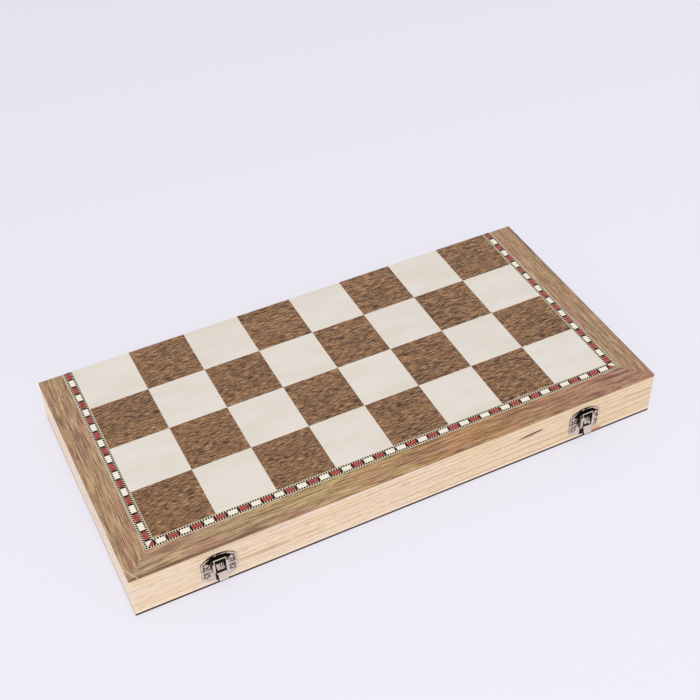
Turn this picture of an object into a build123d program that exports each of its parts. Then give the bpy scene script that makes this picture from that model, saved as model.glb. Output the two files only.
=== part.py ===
"""Folding chess set: a shallow wooden box whose two equal halves unfold into a chess board.

Each half is a face panel with four mitred pine walls glued round its inner side. The panel's outer side is
laid with veneer: a border, an inlay band and four ranks of squares. Two butt hinges let into the back rims
join the halves, two clasps on the front hold them shut, and the chessmen lie in the lower half.

X runs along the long edge, -Y is the front with the clasps, +Y the hinged back, +Z is up. The origin is the
centre of the underside. All sizes are in millimetres.
"""
import os
from math import cos, radians, sin

from build123d import *

# Playing face, the same on both halves
square_size = 48.0
files_across = 8
ranks_per_half = 4
band_width = 8.0
border_width = 20.0
veneer_thickness = 0.6

# Case
closed_height = 40.0
backing_thickness = 1.2
lining_thickness = 0.6
wall_thickness = 8.0
rim_gap = 0.2

# Hinges on the back edge
hinge_spacing = 300.0
hinge_length = 34.0
knuckle_count = 5
knuckle_radius = 1.8
knuckle_end_gap = 0.3
knuckle_clearance = 0.3
hinge_pin_radius = 0.9
hinge_pin_play = 0.05
hinge_standoff = 0.15
leaf_thickness = 0.8
leaf_reach = 6.6
leaf_screw_spacing = 20.0
leaf_screw_inset = 4.4
screw_head_radius = 1.6
screw_head_depth = 1.0
screw_shank_radius = 0.8
screw_length = 8.0
screw_slot_width = 0.4
screw_slot_depth = 0.3

# Clasps on the front edge
clasp_spacing = 310.0
clasp_width = 27.0
plate_thickness = 0.8
plate_seam_gap = 0.4
upper_plate_shoulder = 6.6
upper_plate_height = 13.0
lower_plate_shoulder = 9.8
lower_plate_height = 15.4
lever_pin_height = 9.4
lever_pin_radius = 0.6
lever_pin_play = 0.05
lever_knuckle_radius = 1.4
lever_knuckle_width = 9.6
lever_knuckle_gap = 0.2
lever_ear_width = 2.0
lever_width = 12.0
lever_thickness = 0.8
lever_clearance = 0.3
lever_flange_depth = 1.6
lever_window_width = 8.0
lever_window_height = 10.6
lever_bar_height = 1.6
flap_width = 8.0
flap_bend_radius = 8.5
flap_bend_angle = 50.0
flap_corner_radius = 2.0
nose_width = 6.0
nose_reach = 4.0
nose_drop = 2.6
nose_rise = 3.6
nose_thickness = 1.0
nose_lip_height = 1.2
nail_head_radius = 1.1
nail_head_height = 0.5
nail_shank_radius = 0.5
nail_length = 6.0
nail_spacing = 20.0
upper_nail_height = 4.0
lower_nail_height = 6.6

# Chessmen, lying in the lower half
tray_margin = 4.0
piece_sink = 0.02
foot_rim = 2.4
foot_height = 7.0
collar_height = 2.4
king_size = dict(foot=14.5, neck=4.6, collar=8.4, stem=52.0, head=7.6, height=84.0)
queen_size = dict(foot=14.5, neck=4.4, collar=8.0, stem=46.0, head=7.4, height=74.0)
bishop_size = dict(foot=13.5, neck=4.0, collar=7.2, stem=37.0, head=6.2, height=64.0)
knight_size = dict(foot=13.5, neck=8.6, collar=9.6, stem=15.0, head=5.6, height=56.0)
rook_size = dict(foot=13.5, neck=7.0, collar=8.6, stem=32.0, head=9.4, height=48.0)
pawn_size = dict(foot=12.0, neck=3.6, collar=6.6, stem=25.0, head=6.6, height=42.0)
cross_width = 8.0
cross_height = 9.0
cross_thickness = 3.0
crown_notches = 8
crown_notch_radius = 1.5
turret_wall = 2.4
turret_notches = 6
turret_notch_width = 2.6
turret_notch_depth = 3.0
turret_bowl_depth = 4.0
mitre_slot_width = 1.4

# Places that follow from the sizes above
face_inset = border_width + band_width
board_length = files_across * square_size + 2 * face_inset
half_depth = ranks_per_half * square_size + face_inset
right_x = board_length / 2
front_y = -half_depth / 2
back_y = half_depth / 2
seam_z = closed_height / 2
face_thickness = veneer_thickness + backing_thickness
rim_z = seam_z - rim_gap / 2
lining_top = face_thickness + lining_thickness
hinge_y = back_y + hinge_standoff
notch_radius = knuckle_radius + knuckle_clearance


def block(x, y, z):
    """A box given by its low and high value along each axis."""
    middle = [(low + high) / 2 for low, high in (x, y, z)]
    size = [high - low for low, high in (x, y, z)]
    return Pos(*middle) * Box(*size)


def rod(radius, x, y, z):
    """A round bar along X between the two given values of x."""
    return Pos((x[0] + x[1]) / 2, y, z) * Rot(0, 90, 0) * Cylinder(radius, x[1] - x[0])


def fuse(*pieces):
    """The pieces joined into one solid."""
    whole = pieces[0]
    for piece in pieces[1:]:
        whole = whole + piece
    return whole


def upside_down(shapes):
    """The same shapes mirrored in the seam between the halves, for the lid."""
    return [shape.mirror(Plane.XY.offset(seam_z)) for shape in shapes]


def prism(corners, low, high):
    """A plan outline raised from one height to another."""
    return Pos(0, 0, low) * extrude(make_face(Polyline(*corners, close=True)), high - low)


def open_frame(inset, width, low, high):
    """Front, left and right strips of one width, mitred in front and cut square at the back edge."""
    x, y = right_x - inset, front_y + inset
    front = [(-x, y), (x, y), (x - width, y + width), (-x + width, y + width)]
    left = [(-x, y), (-x + width, y + width), (-x + width, back_y), (-x, back_y)]
    right = [(-px, py) for px, py in left]
    return [prism(corners, low, high) for corners in (front, left, right)]


def closed_frame(width, low, high):
    """Front, back, left and right walls, mitred at all four corners."""
    x, y = right_x, back_y
    front = [(-x, -y), (x, -y), (x - width, -y + width), (-x + width, -y + width)]
    left = [(-x, -y), (-x + width, -y + width), (-x + width, y - width), (-x, y)]
    back = [(px, -py) for px, py in front]
    right = [(-px, py) for px, py in left]
    return [prism(corners, low, high) for corners in (front, back, left, right)]


def squares(parity):
    """Every second square of a half, as thin tiles of veneer."""
    tiles = []
    for file in range(files_across):
        for rank in range(ranks_per_half):
            if (file + rank) % 2 == parity:
                x = -right_x + face_inset + file * square_size
                y = front_y + face_inset + rank * square_size
                tiles.append(block((x, x + square_size), (y, y + square_size), (0, veneer_thickness)))
    return tiles


def hinge_xs():
    return [-hinge_spacing / 2, hinge_spacing / 2]


def clasp_xs():
    return [-clasp_spacing / 2, clasp_spacing / 2]


def knuckle_cells(leaf):
    """The stretches of the hinge's length, about its middle, that hold one leaf's knuckles."""
    pitch = hinge_length / knuckle_count
    return [(i * pitch - hinge_length / 2, (i + 1) * pitch - hinge_length / 2)
            for i in range(leaf, knuckle_count, 2)]


def hinge_leaf(leaf):
    """A hinge leaf that lies in the lower rim, with leaf 0 or 1's set of knuckles."""
    half = hinge_length / 2
    plate = block((-half, half), (hinge_y - leaf_reach, hinge_y), (rim_z - leaf_thickness, rim_z))
    for cell in knuckle_cells(1 - leaf):
        plate = plate - rod(notch_radius, cell, hinge_y, seam_z)
    for low, high in knuckle_cells(leaf):
        ends = (low + knuckle_end_gap / 2, high - knuckle_end_gap / 2)
        plate = plate + rod(knuckle_radius, ends, hinge_y, seam_z)
    bore = hinge_pin_radius + hinge_pin_play * leaf
    return plate - rod(bore, (-half, half), hinge_y, seam_z) - fuse(*leaf_screws(slotted=False))


def leaf_screws(slotted=True):
    """The countersunk screws of one leaf, flush with the lower rim."""
    screws = []
    for x in (-leaf_screw_spacing / 2, leaf_screw_spacing / 2):
        head = Pos(0, 0, -screw_head_depth / 2) * Cone(screw_shank_radius, screw_head_radius, screw_head_depth)
        shank = Pos(0, 0, -screw_length / 2) * Cylinder(screw_shank_radius, screw_length)
        screw = head + shank
        if slotted:
            screw = screw - Box(2 * screw_head_radius, screw_slot_width, 2 * screw_slot_depth)
        screws.append(Pos(x, hinge_y - leaf_screw_inset, rim_z) * screw)
    return screws


def hinge_room():
    """What the lower back wall gives up for one hinge: the leaf's bed, the barrel's notch, the screw holes."""
    half = hinge_length / 2
    bed = block((-half, half), (hinge_y - leaf_reach, hinge_y), (rim_z - leaf_thickness, seam_z))
    notch = rod(notch_radius, (-half - knuckle_clearance, half + knuckle_clearance), hinge_y, seam_z)
    return fuse(bed, notch, *leaf_screws(slotted=False))


# Where the clasp's parts stand, as seen from the side
plate_front_y = front_y - plate_thickness
pin_y = plate_front_y - lever_clearance - lever_knuckle_radius
pin_z = seam_z + lever_pin_height
lever_out_y = pin_y - lever_knuckle_radius
lever_in_y = lever_out_y + lever_thickness
nose_bottom = seam_z - nose_drop
window_bottom = nose_bottom - lever_clearance * 2.5
window_top = window_bottom + lever_window_height
bend_z = window_bottom - lever_bar_height
body_top = pin_z - lever_knuckle_radius - lever_clearance


def arched_outline(half, straight_z, shoulder_z, crest_z):
    """A clasp plate's outline: straight along the seam and at both ends, arched on the far side."""
    sides = Polyline((-half, shoulder_z), (-half, straight_z), (half, straight_z), (half, shoulder_z))
    return [sides, ThreePointArc((half, shoulder_z), (0, crest_z), (-half, shoulder_z))]


def front_plate(outline):
    """A clasp plate: a front outline given as edges, standing on the front wall."""
    face = Plane.XZ.offset(-front_y) * make_face(outline)
    return extrude(face, plate_thickness)


def side_profile(edges, width):
    """A profile in the Y and Z directions made into a bar of the given width along X."""
    return extrude(Plane.YZ * make_face(edges), width / 2, both=True)


def clasp_nails(height):
    """The two nails of a clasp plate at one height, heads on the plate and shanks in the wall."""
    nails = []
    for x in (-nail_spacing / 2, nail_spacing / 2):
        head = Pos(0, 0, nail_head_height / 2) * Cone(nail_head_radius, nail_head_radius / 2, nail_head_height)
        shank = Pos(0, 0, -nail_length / 2) * Cylinder(nail_shank_radius, nail_length)
        nails.append(Pos(x, plate_front_y, height) * Rot(90, 0, 0) * (head + shank))
    return nails


def clasp_nail_heights():
    return {"lid": seam_z + upper_nail_height, "base": seam_z - lower_nail_height}


def upper_plate():
    half, low = clasp_width / 2, seam_z + plate_seam_gap
    shoulder, top = seam_z + upper_plate_shoulder, seam_z + upper_plate_height
    plate = front_plate(arched_outline(half, low, shoulder, top))
    for side in (-1, 1):
        inner = lever_knuckle_width / 2 + lever_knuckle_gap
        ends = sorted((side * inner, side * (inner + lever_ear_width)))
        ear = rod(lever_knuckle_radius, ends, pin_y, pin_z)
        web = block(ends, (pin_y, plate_front_y), (pin_z - lever_knuckle_radius, pin_z + lever_knuckle_radius))
        plate = plate + ear + web
    bore = rod(lever_pin_radius, (-clasp_width / 2, clasp_width / 2), pin_y, pin_z)
    return plate - bore - fuse(*clasp_nails(clasp_nail_heights()["lid"]))


def lower_plate():
    """The plate on the base, with the nose that rises past the seam and shows in the lever's window."""
    half, top = clasp_width / 2, seam_z - plate_seam_gap
    plate = front_plate(arched_outline(half, top, seam_z - lower_plate_shoulder, seam_z - lower_plate_height))
    inner_y, tip_y = plate_front_y - lever_clearance, plate_front_y - nose_reach
    crest_z = seam_z + nose_rise
    corners = [(plate_front_y, nose_bottom), (plate_front_y, top), (inner_y, top), (inner_y, crest_z),
               (inner_y - nose_thickness, crest_z), (tip_y, seam_z + nose_lip_height / 2),
               (tip_y, seam_z - nose_lip_height / 2)]
    nose = side_profile([Polyline(*corners, close=True)], nose_width)
    return plate + nose - fuse(*clasp_nails(clasp_nail_heights()["base"]))


def lever():
    """The hinged lever: knuckle, windowed body with side flanges, and a finger flap that flares outwards."""
    centre_y, angle = lever_out_y - flap_bend_radius, radians(flap_bend_angle)

    def on_bend(radius, share):
        turn = angle * share
        return centre_y + radius * cos(turn), bend_z - radius * sin(turn)

    out_r, in_r = flap_bend_radius, flap_bend_radius + lever_thickness
    profile = [Polyline((lever_in_y, pin_z), (lever_out_y, pin_z), (lever_out_y, bend_z)),
               ThreePointArc((lever_out_y, bend_z), on_bend(out_r, 0.5), on_bend(out_r, 1)),
               Line(on_bend(out_r, 1), on_bend(in_r, 1)),
               ThreePointArc(on_bend(in_r, 1), on_bend(in_r, 0.5), (lever_in_y, bend_z)),
               Line((lever_in_y, bend_z), (lever_in_y, pin_z))]
    flap_z = on_bend(in_r, 1)[1]
    half, neck, r, tab = lever_width / 2, lever_knuckle_width / 2, flap_corner_radius, flap_width / 2
    left_side = [(-neck, pin_z), (-neck, body_top), (-half, body_top), (-half, bend_z), (-tab, bend_z),
                 (-tab, flap_z + r)]
    right_side = [(-x, z) for x, z in reversed(left_side)]
    outline = [Polyline(*left_side), RadiusArc((-tab, flap_z + r), (-tab + r, flap_z), -r),
               Line((-tab + r, flap_z), (tab - r, flap_z)), RadiusArc((tab - r, flap_z), (tab, flap_z + r), -r),
               Polyline(*right_side), Line(right_side[-1], left_side[0])]
    front = extrude(Plane.XZ * make_face(outline), -front_y * 2)
    body = side_profile(profile, lever_width) & front
    knuckle = rod(lever_knuckle_radius, (-neck, neck), pin_y, pin_z)
    window = block((-lever_window_width / 2, lever_window_width / 2), (lever_out_y, lever_in_y),
                   (window_bottom, window_top))
    flanges = []
    for side in (-1, 1):
        xs = sorted((side * half, side * (half - lever_thickness)))
        flanges.append(block(xs, (lever_in_y, lever_in_y + lever_flange_depth), (bend_z, body_top)))
    bore = rod(lever_pin_radius + lever_pin_play, (-neck, neck), pin_y, pin_z)
    return fuse(body, knuckle, *flanges) - window - bore


def lever_pin():
    reach = lever_knuckle_width / 2 + lever_knuckle_gap + lever_ear_width
    return rod(lever_pin_radius, (-reach, reach), pin_y, pin_z)


def turned(steps):
    """A turned body. Each step is an end (radius, height), or a point on an arc followed by its end."""
    edges, here = [], (0.0, 0.0)
    for step in steps:
        end = step[-2:]
        edges.append(Line(here, end) if len(step) == 2 else ThreePointArc(here, step[:2], end))
        here = end
    edges.append(Line(here, (0.0, 0.0)))
    return revolve(Plane.XZ * make_face(edges), Axis.Z)


def foot_and_stem(foot, neck, collar, stem):
    """The steps shared by all chessmen: a moulded foot, a hollow-sided stem and a collar."""
    ankle = (foot + neck) / 2
    waist = (neck + (ankle - neck) * 0.25, foot_height + (stem - foot_height) * 0.4)
    return [(foot, 0), (foot, foot_rim),
            (foot * 0.97, foot_height * 0.6, ankle + 1.0, foot_height * 0.85), (ankle, foot_height),
            (*waist, neck, stem),
            (collar, stem + collar_height * 0.4), (collar, stem + collar_height * 0.7),
            (neck, stem + collar_height)]


def king():
    s = king_size
    brim_z = s["height"] - cross_height - 4.0
    steps = foot_and_stem(s["foot"], s["neck"], s["collar"], s["stem"])
    steps += [(s["neck"] + 0.6, (s["stem"] + brim_z) / 2, s["head"], brim_z - 1.0), (s["head"], brim_z),
              (s["head"] * 0.8, brim_z + 3.2, 1.6, brim_z + 4.2), (0, brim_z + 4.2)]
    arm_z = s["height"] - cross_height * 0.42
    post = block((-cross_thickness / 2, cross_thickness / 2), (-cross_thickness / 2, cross_thickness / 2),
                 (brim_z + 3.6, s["height"]))
    arm = Pos(0, 0, arm_z) * Box(cross_width, cross_thickness, cross_thickness)
    return fuse(turned(steps), post, arm)


def queen():
    s = queen_size
    ball = 2.2
    brim_z = s["height"] - 2 * ball - 1.0
    steps = foot_and_stem(s["foot"], s["neck"], s["collar"], s["stem"])
    steps += [(s["neck"] + 0.5, (s["stem"] + brim_z) / 2, s["head"], brim_z - 1.0), (s["head"], brim_z),
              (s["head"] - 2.0, brim_z - 1.4), (2.0, brim_z + 1.4), (0, brim_z + 1.4)]
    crown = turned(steps) + Pos(0, 0, s["height"] - ball) * Sphere(ball)
    for i in range(crown_notches):
        turn = Rot(0, 0, 360 / crown_notches * i) * Pos(s["head"], 0, brim_z)
        crown = crown - turn * Rot(0, 90, 0) * Cylinder(crown_notch_radius, s["neck"])
    return crown


def bishop():
    s = bishop_size
    ball = 1.8
    cheek_z = s["stem"] + collar_height + s["head"]
    tip_z = s["height"] - 2 * ball + 0.4
    steps = foot_and_stem(s["foot"], s["neck"], s["collar"], s["stem"])
    steps += [(s["head"] * 0.92, cheek_z - s["head"] * 0.6, s["head"], cheek_z),
              (s["head"] * 0.78, (cheek_z + tip_z) / 2, 1.2, tip_z), (0, tip_z)]
    mitre = turned(steps) + Pos(0, 0, s["height"] - ball) * Sphere(ball)
    slot = Pos(s["head"] * 0.8, 0, cheek_z + s["head"] * 0.9) * Rot(0, -35, 0)
    return mitre - slot * Box(s["head"] * 2.0, s["head"] * 2.4, mitre_slot_width)


def rook():
    s = rook_size
    steps = foot_and_stem(s["foot"], s["neck"], s["collar"], s["stem"])
    flare_z = s["stem"] + collar_height + 3.0
    bowl = s["head"] - turret_wall
    steps += [(s["neck"], flare_z), (s["head"], flare_z + 3.0), (s["head"], s["height"]), (bowl, s["height"]),
              (bowl, s["height"] - turret_bowl_depth), (0, s["height"] - turret_bowl_depth)]
    tower = turned(steps)
    for i in range(turret_notches):
        turn = Rot(0, 0, 360 / turret_notches * (i + 0.5)) * Pos(s["head"], 0, s["height"])
        tower = tower - turn * Box(2.4 * turret_wall, turret_notch_width, 2 * turret_notch_depth)
    return tower


def knight():
    s = knight_size
    low, high = s["stem"] + 0.4, s["height"]
    rise = high - low
    steps = foot_and_stem(s["foot"], s["neck"], s["collar"], s["stem"])
    body = turned(steps + [(0, s["stem"] + collar_height)])
    nape = [(-8.4, low), (-10.6, low + rise * 0.34), (-8.6, low + rise * 0.66)]
    brow = [(-1.0, low + rise * 0.93), (0.4, high), (3.0, low + rise * 0.88)]
    muzzle = [(11.6, low + rise * 0.56), (12.4, low + rise * 0.44), (9.4, low + rise * 0.34)]
    throat = [(3.4, low + rise * 0.46), (3.0, low + rise * 0.28), (8.2, low)]
    outline = [ThreePointArc(nape[0], nape[1], nape[2]),
               ThreePointArc(nape[2], (-5.8, low + rise * 0.84), brow[0]),
               Line(brow[0], brow[1]), Line(brow[1], brow[2]), Line(brow[2], muzzle[0]),
               ThreePointArc(muzzle[0], muzzle[1], muzzle[2]), Line(muzzle[2], throat[0]),
               ThreePointArc(throat[0], throat[1], throat[2]), Line(throat[2], nape[0])]
    head = extrude(Plane.XZ * make_face(outline), s["head"], both=True)
    cheek = Pos(0, 0, (low + high) / 2) * Rot(0, 12, 0) * Sphere(1.0)
    envelope = scale(cheek, (16.0, s["head"] * 1.25, rise * 0.62))
    envelope = Pos(0, 0, (low + high) / 2 - envelope.center().Z) * envelope
    return body + (head & envelope)


def pawn():
    s = pawn_size
    steps = foot_and_stem(s["foot"], s["neck"], s["collar"], s["stem"]) + [(0, s["stem"] + collar_height)]
    ball_z = s["height"] - s["head"]
    neck = Pos(0, 0, (s["stem"] + ball_z) / 2) * Cylinder(s["neck"], ball_z - s["stem"])
    return fuse(turned(steps), neck, Pos(0, 0, ball_z) * Sphere(s["head"]))


def resting_tilt(piece, foot):
    """How far, in degrees, a chessman on its side tips forward from its foot's rim until the rest touches."""
    top = piece.bounding_box().max.Z
    above_foot = piece & block((-foot, foot), (-foot, foot), (foot_height, top))
    low, high = 0.0, 30.0
    for _ in range(16):
        tilt = (low + high) / 2
        lowest = (Rot(-90 - tilt, 0, 0) * above_foot).bounding_box().min.Z
        low, high = (tilt, high) if lowest > -rim_depth(foot, tilt) else (low, tilt)
    return low


def rim_depth(foot, tilt):
    """How far below its axis's start the foot's rim reaches when the chessman lies tipped."""
    return foot * cos(radians(tilt)) + foot_rim * sin(radians(tilt))


def lay_down(piece, foot, tilt, x, y, heading):
    """Lays a chessman on the lining with its foot at y, and its head towards +Y or -Y as heading is 1 or -1."""
    resting = Pos(0, 0, rim_depth(foot, tilt)) * Rot(-90 - tilt, 0, 0) * piece
    turned_round = Rot(0, 0, 0 if heading > 0 else 180) * resting
    return Pos(x, y, lining_top - piece_sink) * turned_round


def chessmen():
    """Both colours' pieces in the order of the back rank, and the pawns in two short rows beside them."""
    makers = dict(king=king, queen=queen, bishop=bishop, knight=knight, rook=rook, pawn=pawn)
    sizes = dict(king=king_size, queen=queen_size, bishop=bishop_size, knight=knight_size, rook=rook_size,
                 pawn=pawn_size)
    made = {kind: maker() for kind, maker in makers.items()}
    tilts = {kind: resting_tilt(piece, sizes[kind]["foot"]) for kind, piece in made.items()}
    columns = ["rook", "knight", "bishop", "queen", "king", "bishop", "knight", "rook"] + ["pawn"] * 4
    room = board_length - 2 * (wall_thickness + tray_margin)
    gap = (room - sum(2 * sizes[kind]["foot"] for kind in columns)) / (len(columns) - 1)
    wall_y = half_depth / 2 - wall_thickness - tray_margin
    men = {}
    for colour, side in (("white", -1), ("black", 1)):
        x = -room / 2
        for kind in columns:
            foot = sizes[kind]["foot"]
            places = [(side * wall_y, -side)] + ([(side * tray_margin, side)] if kind == "pawn" else [])
            node = f"{colour}_{kind}" + ("" if kind in ("king", "queen") else "s")
            for y, heading in places:
                laid = lay_down(made[kind], foot, tilts[kind], x + foot, y, heading)
                men.setdefault(node, []).append(laid)
            x += 2 * foot + gap
    return men


def face_and_walls():
    """The wooden pieces of one half as the base has them, and the two sets of squares by parity."""
    depth = (front_y, back_y)
    length = (-right_x, right_x)
    border = open_frame(0, border_width, 0, veneer_thickness)
    walls = closed_frame(wall_thickness, face_thickness, rim_z)
    for x in hinge_xs():
        walls[1] = walls[1] - Pos(x, 0, 0) * hinge_room()
    inner = (right_x - wall_thickness, back_y - wall_thickness)
    pieces = {
        "board_panel": [block(length, depth, (veneer_thickness, face_thickness))],
        "front_border": border[:1], "left_border": border[1:2], "right_border": border[2:],
        "inlay_band": open_frame(border_width, band_width, 0, veneer_thickness),
        "front_wall": walls[:1], "back_wall": walls[1:2], "left_wall": walls[2:3], "right_wall": walls[3:],
        "felt_lining": [block((-inner[0], inner[0]), (-inner[1], inner[1]), (face_thickness, lining_top))],
    }
    return pieces, squares(0), squares(1)


def with_nail_holes(wall, height):
    for x in clasp_xs():
        wall = wall - Pos(x, 0, 0) * fuse(*clasp_nails(height))
    return wall


def build():
    """Every node by name, as a list of its solids."""
    pieces, even, odd = face_and_walls()
    heights = clasp_nail_heights()
    nodes = {}
    for name, solids in pieces.items():
        nodes[f"base_{name}"] = solids
        nodes[f"lid_{name}"] = upside_down(solids)
    nodes["base_light_squares"], nodes["base_dark_squares"] = even, odd
    nodes["lid_light_squares"], nodes["lid_dark_squares"] = upside_down(odd), upside_down(even)
    for half in ("base", "lid"):
        nodes[f"{half}_front_wall"] = [with_nail_holes(nodes[f"{half}_front_wall"][0], heights[half])]
        nodes[f"{half}_clasp_nails"] = [Pos(x, 0, 0) * nail for x in clasp_xs()
                                        for nail in clasp_nails(heights[half])]
    screws = [Pos(x, 0, 0) * screw for x in hinge_xs() for screw in leaf_screws()]
    nodes["base_hinge_screws"], nodes["lid_hinge_screws"] = screws, upside_down(screws)
    base_leaf, lid_leaf = hinge_leaf(0), upside_down([hinge_leaf(1)])[0]
    hinge_pin = rod(hinge_pin_radius, (-hinge_length / 2, hinge_length / 2), hinge_y, seam_z)
    clasp = {"clasp_upper_plate": upper_plate(), "clasp_lower_plate": lower_plate(), "clasp_lever": lever(),
             "clasp_pin": lever_pin()}
    for side, hinge_x, clasp_x in zip(("left", "right"), hinge_xs(), clasp_xs()):
        nodes[f"{side}_hinge_base_leaf"] = [Pos(hinge_x, 0, 0) * base_leaf]
        nodes[f"{side}_hinge_lid_leaf"] = [Pos(hinge_x, 0, 0) * lid_leaf]
        nodes[f"{side}_hinge_pin"] = [Pos(hinge_x, 0, 0) * hinge_pin]
        for name, piece in clasp.items():
            nodes[f"{side}_{name}"] = [Pos(clasp_x, 0, 0) * piece]
    nodes.update(chessmen())
    return nodes


os.makedirs("parts", exist_ok=True)
for node, solids in build().items():
    whole = Compound(children=[part for solid in solids for part in solid.solids()])
    export_step(whole, f"parts/{node}.step")
    print(f"{node}: {len(whole.solids())} solids")
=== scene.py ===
# %% [markdown]
# # A folding chess set, dressed for a photograph
#
# This lesson takes a finished CAD model of a folding chess box and gives it the looks of the real thing.
# The CAD pieces already have their sizes and places, so Blender only adds what CAD leaves out: the camera,
# the light, the finish of every surface and the small stamped and carved forms. X runs along the long edge,
# -Y is the front with the clasps, +Y the hinged back, and +Z is up.

from math import asin, atan2, ceil, cos, degrees, hypot, pi, radians, sin

import bmesh
import bpy
from mathutils import Matrix, Vector


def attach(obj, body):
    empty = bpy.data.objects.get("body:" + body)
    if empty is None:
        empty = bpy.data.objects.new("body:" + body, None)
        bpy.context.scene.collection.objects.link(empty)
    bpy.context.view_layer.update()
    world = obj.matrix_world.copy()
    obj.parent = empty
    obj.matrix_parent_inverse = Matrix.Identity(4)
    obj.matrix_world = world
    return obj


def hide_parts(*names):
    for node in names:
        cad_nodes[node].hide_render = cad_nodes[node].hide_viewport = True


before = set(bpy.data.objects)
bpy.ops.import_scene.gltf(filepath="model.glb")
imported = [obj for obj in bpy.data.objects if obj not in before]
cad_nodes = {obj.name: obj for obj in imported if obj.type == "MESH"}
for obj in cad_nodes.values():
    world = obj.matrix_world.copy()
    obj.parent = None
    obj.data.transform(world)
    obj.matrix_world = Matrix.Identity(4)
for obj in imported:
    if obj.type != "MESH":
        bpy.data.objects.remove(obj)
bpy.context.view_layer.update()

# %% [markdown]
# ## The sizes that the finishes need
#
# A finish follows the thing that it is on: the inlay has to know where the border ends, and a growth ring
# how far down the wall it lies. So the few sizes that several steps share are named once here. Patterns and
# small forms are worked out in millimetres, and Blender gets metres.

# %% Sizes shared by the steps, in millimetres
MM = 0.001
LENGTH, DEPTH, CLOSED, SEAM = 440, 220, 40, 20
HALF_X, HALF_Y = LENGTH / 2, DEPTH / 2
BORDER, BAND, SQUARE, PANEL = 20, 8, 48, 1.8
INSET = BORDER + BAND
CLASP_AWAY = 155
halves = ("lid", "base")
print("squares fit:", 8 * SQUARE + 2 * INSET, "mm long,", 4 * SQUARE + INSET, "mm deep")

# %% [markdown]
# ## The camera
#
# A camera can be set by eye, but a box is a fine thing to measure with: its corners are known, so the place
# and the turn of the camera that saw them can be worked out. That was done beforehand, and the result is
# written here as a place and three directions: right, down and into the picture. Blender's camera looks
# along its own -Z with +Y up, so two of the three change sign.

# %% Set the camera as the corners of the box gave it
def new_object(name, data):
    """Puts data into the scene as an object."""
    made = bpy.data.objects.new(name, data)
    bpy.context.scene.collection.objects.link(made)
    return made


focal_pixels, picture_pixels, sensor_mm = 1256.03, 700, 36
camera_place = Vector((-0.30252, -0.65261, 0.73743))
rightwards = Vector((0.895612, -0.444300, -0.021842))
downwards = Vector((-0.316468, -0.601886, -0.733199))
inwards = Vector((0.312614, 0.663574, -0.679663))

camera_data = bpy.data.cameras.new("camera")
camera_data.sensor_width = sensor_mm
camera_data.lens = focal_pixels / picture_pixels * sensor_mm
camera_data.clip_start, camera_data.clip_end = 0.01, 30
camera = new_object("camera", camera_data)
turn = Matrix((rightwards, -downwards, -inwards)).transposed().to_4x4()
camera.matrix_world = Matrix.Translation(camera_place) @ turn
bpy.context.scene.camera = camera
bpy.context.scene.view_settings.view_transform = "Standard"
print("lens:", round(camera_data.lens, 2), "mm, height above the floor:", round(camera_place.z, 3), "m")

# %% [markdown]
# ## A small language for finishes
#
# A finish in Blender is a graph of nodes. Wiring it by hand is long and hard to read, so two small helpers
# make it read like arithmetic. A `Wire` is the output of a node, and adding or multiplying wires adds the
# Math nodes that do it. A `Finish` is one graph, and its `node` method makes any node: first its type, then
# its settings, then what goes into its sockets, which can be plain values or wires.

# %% Wires that can be added, multiplied and compared
def operator(operation, flipped=False):
    """A method that adds one Math node; flipped puts the wire behind the other value."""
    def method(self, *others):
        order = (*others, self) if flipped else (self, *others)
        return self.finish.node("ShaderNodeMath", {"operation": operation}, dict(enumerate(order)))
    return method


class Wire:
    """The output of a node, for use in expressions."""

    __add__, __radd__ = operator("ADD"), operator("ADD", flipped=True)
    __sub__, __rsub__ = operator("SUBTRACT"), operator("SUBTRACT", flipped=True)
    __mul__, __truediv__, __mod__ = operator("MULTIPLY"), operator("DIVIDE"), operator("FLOORED_MODULO")
    __lt__, __gt__, __abs__ = operator("LESS_THAN"), operator("GREATER_THAN"), operator("ABSOLUTE")
    smaller, larger = operator("MINIMUM"), operator("MAXIMUM")
    floor, root = operator("FLOOR"), operator("SQRT")

    def __init__(self, finish, socket):
        self.finish, self.socket = finish, socket

    def ramp(self, start, end, low=0, high=1):
        """Low before start, high after end, and a soft slope between them."""
        spans = {"Value": self, "From Min": start, "From Max": end, "To Min": low, "To Max": high}
        return self.finish.node("ShaderNodeMapRange", {"interpolation_type": "SMOOTHSTEP"}, spans)


print("signs that a wire understands: + - * / % < > and abs")


# %% Colours as a picture shows them
def tint(red, green, blue):
    """A colour given as a picture shows it, 0 to 255, as the light values that Blender works with."""
    def to_light(value):
        value /= 255
        return value / 12.92 if value <= 0.04045 else ((value + 0.055) / 1.055) ** 2.4
    return (to_light(red), to_light(green), to_light(blue), 1)


print("a photographed cream is", [round(value, 3) for value in tint(229, 221, 211)[:3]], "as light")


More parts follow.
